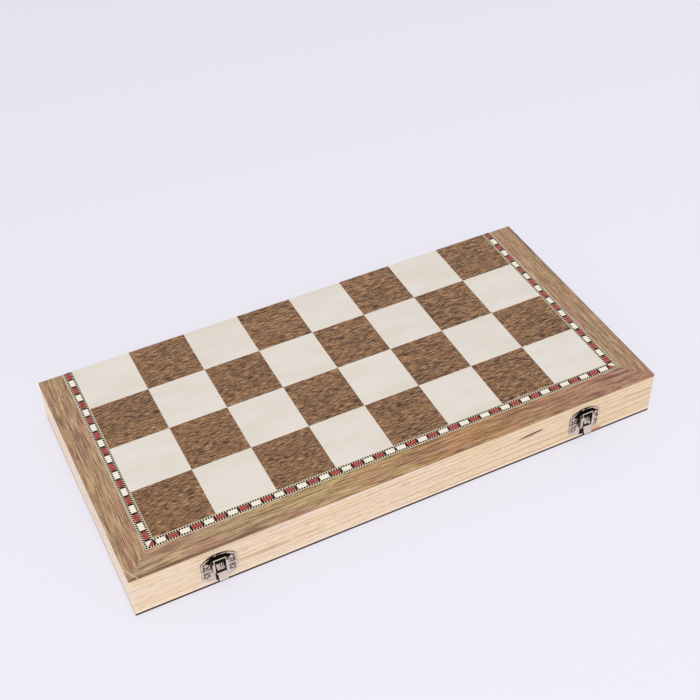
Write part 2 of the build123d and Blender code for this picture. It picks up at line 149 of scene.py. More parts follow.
# %% A finish: one graph and the method that makes its nodes
class Finish:
    """One graph of nodes, of a new material or of the owner that is given."""

    def __init__(self, name, owner=None):
        self.owner = owner or bpy.data.materials.new(name)
        self.owner.use_nodes = True
        self.tree = self.owner.node_tree
        self.tree.nodes.clear()

    def node(self, kind, settings=None, inputs=None, output=None):
        """Makes a node and gives the wire that leaves it."""
        made = self.tree.nodes.new(kind)
        for setting, value in (settings or {}).items():
            setattr(made, setting, value)
        for key, value in (inputs or {}).items():
            socket = made.inputs[key] if isinstance(key, int) else next(
                s for s in made.inputs if key in (s.identifier, s.name))
            if isinstance(value, Wire):
                self.tree.links.new(value.socket, socket)
            else:
                socket.default_value = value
        found = [s for s in made.outputs if s.enabled and output in (None, s.identifier, s.name)]
        return Wire(self, found[0]) if found else None

    def place(self):
        """Where a point lies while the box is closed, in millimetres, as three wires."""
        metres = self.node("ShaderNodeTexCoord", output="Object")
        vector = self.node("ShaderNodeVectorMath", {"operation": "SCALE"}, {0: metres, "Scale": 1 / MM})
        return [self.node("ShaderNodeSeparateXYZ", {}, {0: vector}, axis) for axis in "XYZ"]

    def noise(self, place, detail=2, roughness=0.5):
        """Soft noise near 0.5, in clouds one unit wide; detail adds finer ones, as strong as roughness."""
        vector = self.node("ShaderNodeCombineXYZ", {}, dict(enumerate(place)))
        return self.node("ShaderNodeTexNoise", {}, {"Vector": vector, "Scale": 1, "Detail": detail,
                                                    "Roughness": roughness}, "Fac")

    def mix(self, share, first, second, blend="MIX"):
        """Goes from the first colour to the second as share grows, or blends them another way."""
        return self.node("ShaderNodeMix", {"data_type": "RGBA", "blend_type": blend},
                         {"Factor_Float": share, "A_Color": first, "B_Color": second}, "Result_Color")

    def layered(self, colour, *layers):
        """Lays colours over a colour, each by a share and as a picture shows it."""
        for share, over in layers:
            colour = self.mix(share, colour, tint(*over))
        return colour

    def colours(self, value, *stops):
        """A colour that changes with a value, by stops that each say where and which."""
        wire = self.node("ShaderNodeValToRGB", {}, {"Fac": value}, "Color")
        ramp = wire.socket.node.color_ramp
        while len(ramp.elements) < len(stops):
            ramp.elements.new(0.5)
        for element, (place, colour) in zip(ramp.elements, stops):
            element.position, element.color = place, tint(*colour)
        return wire

    def surface(self, colour, roughness, height, depth, specular=0.3, **constants):
        """Ends the finish: its colour, its roughness, and a height in millimetres that tips the light."""
        bump = self.node("ShaderNodeBump", {}, {"Strength": 1, "Distance": depth * MM, "Height": height})
        inputs = {"Base Color": colour, "Roughness": roughness, "Normal": bump,
                  "Specular IOR Level": specular}
        inputs.update({key.replace("_", " "): value for key, value in constants.items()})
        shader = self.node("ShaderNodeBsdfPrincipled", {}, inputs)
        self.node("ShaderNodeOutputMaterial", {}, {"Surface": shader})
        return self.owner


print("a finish can make:", [name for name in vars(Finish) if not name.startswith("_")])

# %% [markdown]
# ## The floor and the light
#
# The box was photographed on a pale bluish sweep in very even light: its front is as bright as its top, and
# it hardly casts a shadow. A lamp alone would give a hard shadow, so most of the light here comes from the
# world, which shines from every side, and one broad lamp from the upper left adds a gentle direction. The
# floor is partly lit and partly glowing where the camera sees it, because that keeps the shadow and makes
# it as faint as in the photograph. Far off it takes the backdrop's colour, so that no horizon shows.

# %% The world that lights the set from all sides
studio = Finish("studio", bpy.data.worlds.new("studio"))
bpy.context.scene.world = studio.owner
world_strength = 0.84
around = studio.node("ShaderNodeBackground", {}, {"Color": (0.99, 0.99, 1, 1), "Strength": world_strength})
backdrop = studio.node("ShaderNodeBackground", {}, {"Color": tint(235, 233, 241), "Strength": 1})
is_seen = studio.node("ShaderNodeLightPath", output="Is Camera Ray")
world_light = studio.node("ShaderNodeMixShader", {}, {0: is_seen, 1: around, 2: backdrop})
studio.node("ShaderNodeOutputWorld", {}, {"Surface": world_light})
print("the world shines at", world_strength)

# %% A broad soft lamp at the upper left
lamp_data = bpy.data.lights.new("soft_lamp", "AREA")
lamp_data.shape, lamp_data.size, lamp_data.energy = "DISK", 1.6, 19
lamp = new_object("soft_lamp", lamp_data)
lamp.location = (-1.2, -1.86, 1.5)
lamp.rotation_euler = (-lamp.location).to_track_quat("-Z", "Y").to_euler()
print("the lamp hangs", round(lamp.location.length, 2), "m from the box")


# %% The floor
def to_data(name, mesh):
    """Turns a bmesh into mesh data and lets the bmesh go."""
    data = bpy.data.meshes.new(name)
    mesh.to_mesh(data)
    mesh.free()
    return data


FLOOR_RADIUS, FLOOR_GAP = 5, 0.2 * MM
disc = bmesh.new()
bmesh.ops.create_circle(disc, cap_ends=True, segments=64, radius=FLOOR_RADIUS,
                        matrix=Matrix.Translation((0, 0, -FLOOR_GAP)))
floor = new_object("floor", to_data("floor", disc))

paper = Finish("pale_sweep")
aside, away, _ = paper.place()
sweep = paper.mix(away.ramp(-700, 1500), tint(242, 240, 250), tint(228, 226, 236))
sweep = paper.layered(sweep, ((aside * aside + away * away).root().ramp(1600, 3600), (235, 233, 242)))
diffuse = paper.node("ShaderNodeBsdfDiffuse", {}, {"Color": sweep})
glow = paper.node("ShaderNodeEmission", {}, {"Color": sweep, "Strength": 1})
camera_ray, glossy_ray = [paper.node("ShaderNodeLightPath", output=ray)
                          for ray in ("Is Camera Ray", "Is Glossy Ray")]
glow_share = camera_ray.larger(glossy_ray) * 0.72
paper.node("ShaderNodeOutputMaterial", {}, {"Surface": paper.node("ShaderNodeMixShader", {}, {
    0: glow_share, 1: diffuse, 2: glow})})
floor.data.materials.append(paper.owner)
print("the floor is", 2 * FLOOR_RADIUS, "m across")

# %% [markdown]
# ## Pine for the walls
#
# The eight walls are pale pine, sawn along the trunk. What the eye reads as grain are the growth rings cut
# lengthwise: soft pale spring wood that darkens into a thin tan line of summer wood and then starts again.
# A stripe texture would look like wallpaper, so the rings are counted as they grow: how many have been
# crossed below the top of the box, with a slow drift along the board and a strength of its own for each
# ring. Walls along X and walls along Y get the same recipe with the axes exchanged; the walls along Y are
# made paler by painted light. The box is glued up closed and then sawn open, so the grain of the lid's
# wall goes on in the base's wall, and both halves share a material. At the bottom, the wall's sanded edge
# is pale, and below it runs the dark line of glue that holds the panel, darkened with painted shade along
# the floor.

# %% Pine, cut along one axis of the box
def paint(node_name, material):
    """Gives a CAD piece its finish."""
    data = cad_nodes[node_name].data
    data.materials.clear()
    data.materials.append(material)


def pine(name, axis, outer, seed, pale, stains=()):
    """Pine whose growth rings run along the board, wide apart at the bottom and closer at the top."""
    wood = Finish(name)
    x, y, z = wood.place()
    along, deep = (x, y) if axis == "x" else (y, x)
    inwards = abs(deep - outer)
    drift = wood.noise((along * 0.005, seed * 7.1, z * 0.012), 1) - 0.5
    ripple = wood.noise((along * 0.028, z * 0.10, seed * 3.3), 3) - 0.5
    waver = wood.noise((along * 0.085, z * 0.35, seed * 4.7)) - 0.5
    level = z - along * 0.018 + drift * 5 + ripple * 2.4 + waver * 1.5 - inwards * 0.35
    unevenness = wood.noise((along * 0.004, seed * 2.9, z * 0.16), 1) - 0.5
    rings = level * 0.115 + level * level * 0.0020 + unevenness * 1.5 + (20.45 + seed)
    number = (rings + 0.5).floor()
    to_line = abs(rings - number)
    strength = wood.noise((along * 0.020, number * 5.3, seed), 4).ramp(0.38, 0.58, 0.10, 1)
    line = to_line.ramp(0.02, 0.17, 1, 0) * strength
    thread = wood.noise((along * 0.012, inwards * 0.4, z * 0.95 + seed), 3, 0.6)
    fibre = wood.noise((along * 0.06, inwards * 1.6, z * 1.6), 4, 0.65)
    fleck = wood.noise((along * 0.10, inwards * 1.1, z * 1.5 + seed), 3)
    cloud = wood.noise((along * 0.010, inwards * 0.05, z * 0.07 + seed))
    spring = wood.colours(cloud, (0.34, (240, 216, 201)), (0.50, (241, 220, 198)), (0.62, (239, 217, 180)))
    # Walls along X turn a warmer tone towards the right; walls along Y are made paler by painted light, by
    # the share pale.
    warm_tone_and_painted_light = (x / LENGTH + 0.5).ramp(0.35, 1, 0, 0.6) if axis == "x" else pale
    body = wood.layered(
        spring, ((CLOSED - z).ramp(10, 26, 0, 0.45), (242, 222, 190)),
        (warm_tone_and_painted_light, (238, 211, 172) if axis == "x" else (253, 239, 224)),
        (to_line.ramp(0.10, 0.48, 0.28, 0), (228, 200, 158)), (line * 0.72, (198, 160, 124)),
        (thread.ramp(0.52, 0.64, 0, 0.34), (208, 174, 138)),
        (fibre.ramp(0.46, 0.66, 0, 0.20), (204, 168, 130)),
        (fleck.ramp(0.56, 0.65, 0, 0.55), (188, 148, 112)))
    # The glue line at the bottom of the base's walls is a dark joint, darkened further as painted shade along
    # the floor.
    sanded_edge, glue_line_and_painted_shade = z.ramp(3.2, 5.4, 0.75, 0), z.ramp(2.1, 2.8, 0.85, 0)
    body = wood.layered(body, (sanded_edge, (255, 238, 214)), (glue_line_and_painted_shade, (104, 64, 44)))
    for at_x, at_z, long, thick, slope, stain in stains:
        off_x, off_z = (x - at_x) / long, (z - at_z - (x - at_x) * slope + ripple * 2) / thick
        core = 1 - (off_x * off_x + off_z * off_z).root()
        body = wood.layered(body, (core.ramp(0, 0.30, 0, 0.95) * inwards.ramp(1.5, 2.5, 1, 0), stain))
    return wood.surface(body, fibre.ramp(0.3, 0.7, 0.46, 0.60), line * 0.5 + fibre, 0.05)


# Each wall has the axis that it runs along, its outer face, a seed and a share of painted light that makes a
# wall along Y paler.
# Each resin mark has its place, length, thickness, slope and colour.
wall_cuts = {"front_wall": ("x", -HALF_Y, 0, 0), "back_wall": ("x", HALF_Y, 8.2, 0),
             "left_wall": ("y", -HALF_X, 12.7, 0.85), "right_wall": ("y", HALF_X, 17.3, 0.40)}
resin = [(106, 26.8, 13, 1.3, 0.065, (116, 56, 40)), (167, 3.4, 7, 2, 0.02, (222, 150, 124))]
for wall, cut in wall_cuts.items():
    board = pine(f"pine_{wall}", *cut, resin if wall == "front_wall" else ())
    for half in halves:
        paint(f"{half}_{wall}", board)
print("walls finished:", 2 * len(wall_cuts))

# %% [markdown]
# ## Veneer for the border, the squares and the panel's edge
#
# The playing face is laid with thin sheets of wood. Sliced veneer shows long streaks rather than rings,
# broad ones that change the colour from olive to brown and to a pinkish tone, and under them fine dark
# dashes where the pores are cut open. Noise that is stretched along the grain gives both. Each strip and
# each square is a sheet of its own, so the noise jumps at every joint, which is what makes them look like
# separate pieces.

# %% Walnut for the border strips
along_front = [(0.00, (244, 241, 248)), (0.22, (236, 233, 228)), (0.42, (255, 255, 224)),
               (0.58, (234, 198, 152)), (0.74, (237, 203, 186)), (0.92, (224, 183, 210))]


def border_veneer(name, axis, seed, worn):
    """Streaked veneer; worn adds the pale chip at the front left corner."""
    wood = Finish(name)
    x, y, z = wood.place()
    along, across = (x, y) if axis == "x" else (y, x)
    sway = wood.noise((along * 0.015, across * 0.04, seed), 3) - 0.5
    across = across + sway * 4
    broad = wood.noise((along * 0.009, across * 0.13, seed * 3.1), 3, 0.6)
    narrow = wood.noise((along * 0.045, across * 1.4, seed * 5.7), 4, 0.72)
    pores = wood.noise((along * 0.090, across * 1.9, seed * 1.3), 3, 0.6)
    blush = wood.noise((along * 0.02, across * 0.12, seed * 2.2))
    sheet = wood.colours(broad, (0.30, (142, 113, 88)), (0.43, (184, 154, 118)), (0.54, (208, 178, 132)),
                         (0.70, (156, 124, 96)))
    if axis == "x":
        sheet = wood.mix(1, sheet, wood.colours(x / LENGTH + 0.5, *along_front), "MULTIPLY")
        sheet = wood.layered(sheet, (abs(x + 25).ramp(10, 60, 0.35, 0), (218, 180, 118)))
    else:
        sheet = wood.mix(1, sheet, tint(240, 229, 228), "MULTIPLY")
    sheet = wood.layered(
        sheet, (blush.ramp(0.49, 0.60, 0, 0.58), (184, 126, 106)),
        (narrow.ramp(0.50, 0.585, 0, 0.77), (108, 78, 56)),
        (narrow.ramp(0.49, 0.39, 0, 0.60), (216, 188, 146)),
        (pores.ramp(0.53, 0.62, 0, 0.62), (96, 66, 48)))
    if axis == "x":
        from_front = y + HALF_Y
        dark_left_edge = (from_front + sway * 2).ramp(0.7, 1.5, 1, 0) * (x + 120).ramp(-8, 10, 1, 0)
        # The base's front arris at the floor is nearly black: the veneer's dark edge, and painted shade along
        # the floor.
        base_arris_and_painted_shade = (z - 1).ramp(-0.5, 0.5, 1, 0) * from_front.ramp(0.02, 0.2, 1, 0)
        sheet = wood.layered(sheet, (dark_left_edge * 0.75, (96, 64, 48)), (base_arris_and_painted_shade, (44, 24, 16)))
    if worn:
        off_corner = (x + HALF_X) * 1.6 + (y + HALF_Y) + sway * 3
        chip = abs(off_corner - 10.4).ramp(0.4, 1, 1, 0) * narrow.ramp(0.38, 0.50)
        sheet = wood.layered(sheet, (chip * 0.75, (222, 208, 194)))
    return wood.surface(sheet, pores.ramp(0.4, 0.7, 0.40, 0.55), pores, -0.04, specular=0.35)


strips = {"front_border": "x", "left_border": "y", "right_border": "y"}
for half_number, half in enumerate(halves):
    for strip_number, (strip, axis) in enumerate(strips.items()):
        seed = 2 + half_number * 3.7 + strip_number * 1.9
        paint(f"{half}_{strip}", border_veneer(f"veneer_{half}_{strip}", axis, seed, worn=half == "lid"))
print("border strips finished:", 2 * len(strips))


# %% The squares, each its own sheet
def square_number(x, y):
    """A number that differs from square to square."""
    file, rank = ((x + 4 * SQUARE) / SQUARE).floor(), ((y + (HALF_Y - INSET)) / SQUARE).floor()
    return file * 2.37 + rank * 5.91


def dark_square_veneer():
    wood = Finish("walnut_squares")
    x, y, _ = wood.place()
    number = square_number(x, y)
    sway = wood.noise((x * 0.045, y * 0.06, number)) - 0.5
    across = y + sway * 4
    broad = wood.noise((x * 0.020, across * 0.09, number), 3)
    streak = wood.noise((x * 0.14, across * 1.9, number * 1.7), 4, 0.75)
    pores = wood.noise((x * 0.28, across * 2, number * 0.7), 3, 0.6)
    sheet = wood.colours(broad, (0.34, (104, 68, 46)), (0.5, (126, 87, 59)), (0.66, (142, 103, 71)))
    sheet = wood.layered(sheet, (streak.ramp(0.505, 0.56, 0, 0.98), (58, 33, 22)),
                         (streak.ramp(0.495, 0.43, 0, 0.95), (198, 154, 110)),
                         (pores.ramp(0.54, 0.64, 0, 0.7), (60, 36, 26)))
    return wood.surface(sheet, pores.ramp(0.4, 0.7, 0.42, 0.56), pores, -0.04)


def light_square_veneer():
    wood = Finish("maple_squares")
    x, y, _ = wood.place()
    number = square_number(x, y)
    broad = wood.noise((x * 0.02, y * 0.06, number))
    fine = wood.noise((x * 0.04, y * 1.1, number * 1.3), 3, 0.6)
    sheet = wood.colours(broad, (0.3, (226, 217, 204)), (0.7, (234, 226, 217)))
    sheet = wood.layered(sheet, (fine.ramp(0.5, 0.75, 0, 0.25), (208, 194, 174)))
    return wood.surface(sheet, 0.46, fine, -0.02)


walnut, maple = dark_square_veneer(), light_square_veneer()
for half in halves:
    paint(f"{half}_dark_squares", walnut)
    paint(f"{half}_light_squares", maple)
print("squares finished on", halves)


# %% The panel under the veneer; on the base its edge is painted nearly black, its own dark edge and painted shade along the floor
def panel_board(name, edge_colour, streak_colour):
    wood = Finish(name)
    x, y, z = wood.place()
    fibre = wood.noise(((x + y) * 0.05, z * 1.5, x * 0.02), 3)
    board = wood.mix(fibre.ramp(0.4, 0.65), tint(*edge_colour), tint(*streak_colour))
    return wood.surface(board, 0.8, fibre, 0.05, specular=0.05)


paint("lid_board_panel", panel_board("panel_lid", (150, 116, 90), (180, 148, 118)))
# The base's panel is much darker than the lid's: painted shade where its edge meets the floor.
paint("base_board_panel", panel_board("panel_base_painted_shade", (44, 24, 16), (88, 52, 36)))
print("panels finished")

# %% [markdown]
# ## The inlay band
#
# Inlay makers glue up long sticks of dyed wood and slice them into ready-made banding: here a cream line, a
# row of black and cream ticks, red and white blocks with black lines between them, and ticks and a line
# again on the other side. It could be painted as a picture, but it is a drawing of exact sizes, so it is
# worked out here from the distance to the board's edge and the way along it. The two strips meet in a mitre
# at the corner, as the cut banding does.

# %% Work out the banding from its sizes
BLOCKS = 21
BLOCK = 4 * SQUARE / BLOCKS


def banding():
    wood = Finish("banding")
    x, y, z = wood.place()
    from_front, from_side = y + HALF_Y, HALF_X - abs(x)
    on_front = from_front < from_side
    across = from_front.smaller(from_side) - BORDER
    along = on_front * (from_side - INSET) + (1 - on_front) * (from_front - INSET)
    in_corner = along < 0
    number = (along / BLOCK).floor() + on_front
    is_red = 1 - (number % 2)
    is_red = in_corner * on_front + (1 - in_corner) * is_red
    in_block = (along / BLOCK) % 1
    line = ((in_block < 0.10) + (in_block > 0.90)).smaller(1)
    tick = ((along / BLOCK * 4.5) % 1) > 0.32
    grain = wood.noise((x * 0.5, y * 0.5, z + number * 3.1), 3)
    cream = wood.mix(grain, tint(240, 230, 204), tint(224, 212, 182))
    white = wood.mix(grain, tint(250, 242, 226), tint(240, 228, 208))
    red = wood.mix(grain.ramp(0.35, 0.7), tint(180, 78, 70), tint(146, 52, 50))
    black = tint(14, 8, 8)
    blocks = wood.mix(line, wood.mix(is_red, white, red), black)
    from_middle = abs(across - BAND / 2)
    sheet = wood.mix(from_middle > 1.95, blocks, wood.mix(tick, cream, black))
    sheet = wood.mix(from_middle > 3.60, sheet, cream)
    return wood.surface(sheet, 0.45, grain, 0.01)


inlay = banding()
for half in halves:
    paint(f"{half}_inlay_band", inlay)
print("blocks per half along the front:", 2 * BLOCKS, "each", round(BLOCK, 3), "mm")

# %% [markdown]
# ## Metal
#
# The clasps and hinges are stamped steel with an aged nickel finish: bright where hands and sand have
# touched them, nearly black in the hollows. The makers dip the whole piece in a dark bath and then tumble
# it, which rubs the high places bright again. So the finish needs to know how high each point of a stamping
# stands. The stamped pieces carry that as an attribute of their own, together with painted shade and a
# painted highlight, and the plain pieces use one even value.

# %% Aged nickel, bright on high places and dark in hollows
def aged_nickel(name, relief_and_light_attribute=None):
    metal = Finish(name)
    x, y, z = metal.place()
    blotch = metal.noise((x * 0.45, y * 0.45, z * 0.45), 3, 0.6)
    grime = metal.noise((x * 1.6, y * 1.6, z * 1.6), 3, 0.7)
    # On stamped pieces the attribute holds the height mixed with painted shade and highlights, and worn
    # follows it.
    height = 0.62
    if relief_and_light_attribute:
        height = metal.node("ShaderNodeAttribute", {"attribute_type": "GEOMETRY",
                                                    "attribute_name": relief_and_light_attribute}, {}, "Fac")
    worn = (height + (blotch - 0.5) * 0.50 + (grime - 0.5) * 0.18).ramp(0.18, 0.82)
    colour = metal.colours(worn, (0, (26, 19, 14)), (0.34, (98, 82, 68)), (0.62, (178, 160, 143)),
                           (1, (226, 212, 201)))
    return metal.surface(colour, worn.ramp(0, 1, 0.62, 0.30), grime, 0.03, specular=0.5, Metallic=1)


plain_nickel, stamped_nickel = aged_nickel("plain_nickel"), aged_nickel("stamped_nickel", "relief")
metal_names = [name for name in cad_nodes if "clasp" in name or "hinge" in name]
for name in metal_names:
    paint(name, plain_nickel)
print("metal nodes:", len(metal_names))

# %% [markdown]
# ## A stamped clasp
#
# Each clasp is two arched plates, one on the lid and one on the base, and a hinged lever whose window slips
# over a nose. The plates are stamped with a raised rim, and with arcs and petals round their nails. A
# boolean or a carved texture could draw them, but a press works differently: it pushes a flat sheet into a
# mould. The same is done here. A fine grid is trimmed to the plate's arch, and every point is pushed out by
# as much as the mould is deep there. The mould is a sum of soft ridges along a few curves, and its depth is
# kept as the attribute that the finish reads. The same attribute also carries painted shade and a painted
# highlight: in the groove under the lever, round the lever's window, beside its flap and on the rim. A plate
# is described here with its middle at x = 0, and both clasps get a copy.

# %% The clasp's sizes, in millimetres
FRONT, PLATE_FRONT, GROUND, RIDGE = -HALF_Y, -110.5, -110.45, 0.70
HALF_WIDE, SEAM_GAP, GRID_STEP = 13.5, 0.4, 0.27
SHOULDER, CREST = {"upper": 26.6, "lower": 10.2}, {"upper": 33, "lower": 4.6}
UPPER_NAIL, LOWER_NAIL, ROSETTE = (10, 24), (10, 13.4), (10, 10.2)
PIN_Y, PIN_Z, KNUCKLE, ROLL_HALF, EAR_IN, EAR_OUT = -112.5, 29.4, 1.4, 4.8, 5, 7
LEVER_FRONT, LEVER_HALF, SHEET, FOLD_IN, FOLD_BACK = -113.9, 6, 0.8, 5.2, -111.5
BODY_TOP, WINDOW_HIGH, WINDOW_LOW, WINDOW_HALF, BEND_Z = 27.7, 27.25, 17.45, 4, 15.95
FLAP_HALF, FLAP_RADIUS, FLAP_TURN, CORNER_X, CORNER_RADIUS = 4, 8.5, radians(41.5), 3.2, 1


def soft_ridge(distance, half_width):
    """1 on the curve itself, falling smoothly to 0 at half_width."""
    t = min(1, abs(distance) / half_width)
    return (1 - t * t) ** 2


def arc(centre, start_deg, sweep_deg, radius, steps=28):
    """Points along an arc round a centre."""
    angles = [radians(start_deg + sweep_deg * step / steps) for step in range(steps + 1)]
    return [(centre[0] + radius * cos(angle), centre[1] + radius * sin(angle)) for angle in angles]


def petals(centre, angles_deg, first, last):
    """Short strokes that spread from one place, like the petals round a nail."""
    rays = [(cos(radians(angle)), sin(radians(angle))) for angle in angles_deg]
    return [[(centre[0] + reach * x, centre[1] + reach * z) for reach in (first, last)] for x, z in rays]


def distance_to(points, x, z):
    """How far a place is from a line through points."""
    best = 1e9
    for (ax, az), (bx, bz) in zip(points, points[1:]):
        dx, dz = bx - ax, bz - az
        t = min(1, max(0, ((x - ax) * dx + (z - az) * dz) / (dx * dx + dz * dz)))
        best = min(best, hypot(x - ax - t * dx, z - az - t * dz))
    return best


print("a ridge is", soft_ridge(0, 1), "high in its middle and", round(soft_ridge(0.5, 1), 2), "halfway out")


# %% The mould of each plate
def arch(kind):
    """Centre height and radius of the arc through both shoulders and the crest of a plate."""
    rise = abs(CREST[kind] - SHOULDER[kind])
    radius = (HALF_WIDE ** 2 + rise ** 2) / (2 * rise)
    return CREST[kind] - (radius if kind == "upper" else -radius), radius


raised = {"upper": arc(UPPER_NAIL, 0, 180, 2), "lower": arc(ROSETTE, 60, 60, 7.6)}
hollow = {"upper": [arc(UPPER_NAIL, 20, 140, 2.9), *petals(UPPER_NAIL, (205, 247, 293, 335), 1.7, 2.6)],
          "lower": [arc(ROSETTE, 64, 52, 6.7), *petals(LOWER_NAIL, range(0, 360, 45), 1.7, 2.5)]}
RIM_AT, GUTTER_AT, RECESS_FROM, RECESS_DEEP, RECESS_HALF = 0.8, 1.9, 1.7, 3.9, 6.6


def mould(kind, x, z):
    """How far the press pushes the sheet out at a point of the plate, from 0 to about 1."""
    upper, wide = kind == "upper", abs(x)
    centre, radius = arch(kind)
    from_edge = min(radius - hypot(x, z - centre), HALF_WIDE - wide + 0.1)
    ridge = soft_ridge(distance_to(raised[kind], wide, z), 0.5)
    furrow = max(soft_ridge(distance_to(points, wide, z), 0.62) for points in hollow[kind])
    depth = 0.68 + 0.32 * ridge - 0.74 * furrow * (1 - 0.5 * ridge)
    if not upper:
        depth += 0.12 * soft_ridge(z - 8, 5)
    if from_edge < 2.5:
        gutter = (0.6 if upper else 0.25) * soft_ridge(from_edge - GUTTER_AT, 0.42)
        depth = max(depth * (1 - gutter), soft_ridge(from_edge - RIM_AT, 0.95))
    depth *= 1 - 0.5 * soft_ridge(z - SEAM, 0.9)
    if upper:
        # The recess under the arch gets narrower towards the shoulders, and its middle runs down to the seam.
        under_rim = from_edge - RECESS_FROM
        recess_deep = RECESS_DEEP if wide < 6.4 else max(0.7, RECESS_DEEP - 0.8 * (wide - 6.4))
        in_middle = wide < RECESS_HALF
        recess_low = 20.6 if in_middle else 25.5
        recess = under_rim > 0 and (under_rim < recess_deep or in_middle) and z > recess_low
        return 0 if recess else depth
    # Below the seam, the lever lies in a groove between two flat lands. The groove is dark with patina and,
    # at its sides, with the painted shade of the lever's flap.
    if wide < (4.6 if z > 13 else 3.6):
        return 0.06 + 0.24 * soft_ridge(x, 3.4)
    return 0.84 if wide < 7 and z < 19 and from_edge > 1.2 else depth


print("the upper mould is", round(mould("upper", 0, 32.4), 2), "deep at the rim and",
      round(mould("upper", 0, 28), 2), "in the recess under it")


# %% Make a mesh a piece of the set
def add_piece(name, data, body, replaced, slot, material):
    """Makes an object that rides on a body and hides the CAD node that it takes the place of."""
    data.materials.append(material)
    piece = new_object(name, data)
    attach(piece, body)
    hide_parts(replaced)
    return piece


def make_piece(name, mesh, *about):
    """Turns a bmesh in millimetres into a piece in metres, smooth but for edges above 40 degrees."""
    bmesh.ops.scale(mesh, vec=(MM, MM, MM), verts=mesh.verts)
    data = to_data(name, mesh)
    data.shade_smooth()
    data.set_sharp_from_angle(angle=radians(40))
    return add_piece(name, data, *about)


# %% Find a mesh's parts, cut it and close it
def everything(mesh):
    return mesh.verts[:] + mesh.edges[:] + mesh.faces[:]


def parts_of(made, kind):
    """What an operator made, of one kind."""
    return [part for part in made["geom"] if isinstance(part, kind)]


def edges_at(verts):
    """The edges that end at given points, each once and in a fixed order."""
    return list(dict.fromkeys(edge for vert in verts for edge in vert.link_edges))


def open_edges(mesh):
    return [edge for edge in mesh.edges if edge.is_boundary]


def face_out(mesh):
    bmesh.ops.recalc_face_normals(mesh, faces=mesh.faces[:])


def close_back(mesh, axis, level):
    """Draws a sheet's border out to a level along an axis, closes it there and gives the new points."""
    ring = parts_of(bmesh.ops.extrude_edge_only(mesh, edges=open_edges(mesh)), bmesh.types.BMVert)
    for vert in ring:
        vert.co[axis] = level
    bmesh.ops.edgeloop_fill(mesh, edges=open_edges(mesh))
    face_out(mesh)
    return ring


def split(mesh, point, normal, dist=1e-5, parts=None, **settings):
    """Cuts a mesh along a plane."""
    bmesh.ops.bisect_plane(mesh, geom=parts or everything(mesh), dist=dist, plane_co=point, plane_no=normal,
                           **settings)


trial = bmesh.new()
bmesh.ops.create_grid(trial, x_segments=2, y_segments=2, size=1)
print("open edges of a small sheet:", len(open_edges(trial)))
close_back(trial, 2, -1)
print("and of the same sheet closed at its back:", len(open_edges(trial)))
trial.free()


# %% Boxes and rods with eased edges, and how high their points stand
def ease(mesh, edges, offset):
    """Rounds edges a little."""
    bmesh.ops.bevel(mesh, geom=edges, offset=offset, segments=2, profile=0.5, affect="EDGES", material=-1)


def join(first, second):
    """Adds all of the second bmesh to the first."""
    data = to_data("joined", second)
    first.from_mesh(data)
    bpy.data.meshes.remove(data)


def relief_of(mesh):
    return mesh.verts.layers.float.get("relief") or mesh.verts.layers.float.new("relief")


def give_relief(mesh, height):
    """Stores for each point its height, with painted shade and highlights mixed in, by a rule that takes the
    point.
    """
    layer = relief_of(mesh)
    for vert in mesh.verts:
        vert[layer] = height(vert.co)


def cuboid(mesh, centre, size):
    """Adds a box and gives its points."""
    stand = Matrix.Translation(centre) @ Matrix.Diagonal((*size, 1))
    return bmesh.ops.create_cube(mesh, size=1, matrix=stand)["verts"]


def add_block(mesh, low, high, bevel=0.15):
    """Adds a box between two corners, with its edges eased."""
    low, high = Vector(low), Vector(high)
    ease(mesh, edges_at(cuboid(mesh, (low + high) / 2, high - low)), bevel)


def add_rod(mesh, radius, x_low, x_high, y, z, segments=24):
    """Adds a round bar along X, with its ends eased."""
    turned = Matrix.Translation(((x_low + x_high) / 2, y, z)) @ Matrix.Rotation(pi / 2, 4, "Y")
    made = bmesh.ops.create_cone(mesh, cap_ends=True, segments=segments, radius1=radius, radius2=radius,
                                 depth=x_high - x_low, matrix=turned)
    ends = [edge for edge in edges_at(made["verts"]) if abs(edge.verts[0].co.x - edge.verts[1].co.x) < 1e-5]
    ease(mesh, ends, 0.15)


trial = bmesh.new()
add_rod(trial, KNUCKLE, -ROLL_HALF, ROLL_HALF, PIN_Y, PIN_Z)
print("a rod with eased ends has", len(trial.faces), "faces")
trial.free()


# %% Press one plate out of a flat grid
def upright_grid(y, middle_z, half_x, half_z, columns, rows):
    """A grid that stands upright, facing the front."""
    mesh = bmesh.new()
    stand = (Matrix.Translation((0, y, middle_z)) @ Matrix.Rotation(pi / 2, 4, "X")
             @ Matrix.Diagonal((half_x, half_z, 1, 1)))
    bmesh.ops.create_grid(mesh, x_segments=columns, y_segments=rows, size=1, matrix=stand)
    return mesh


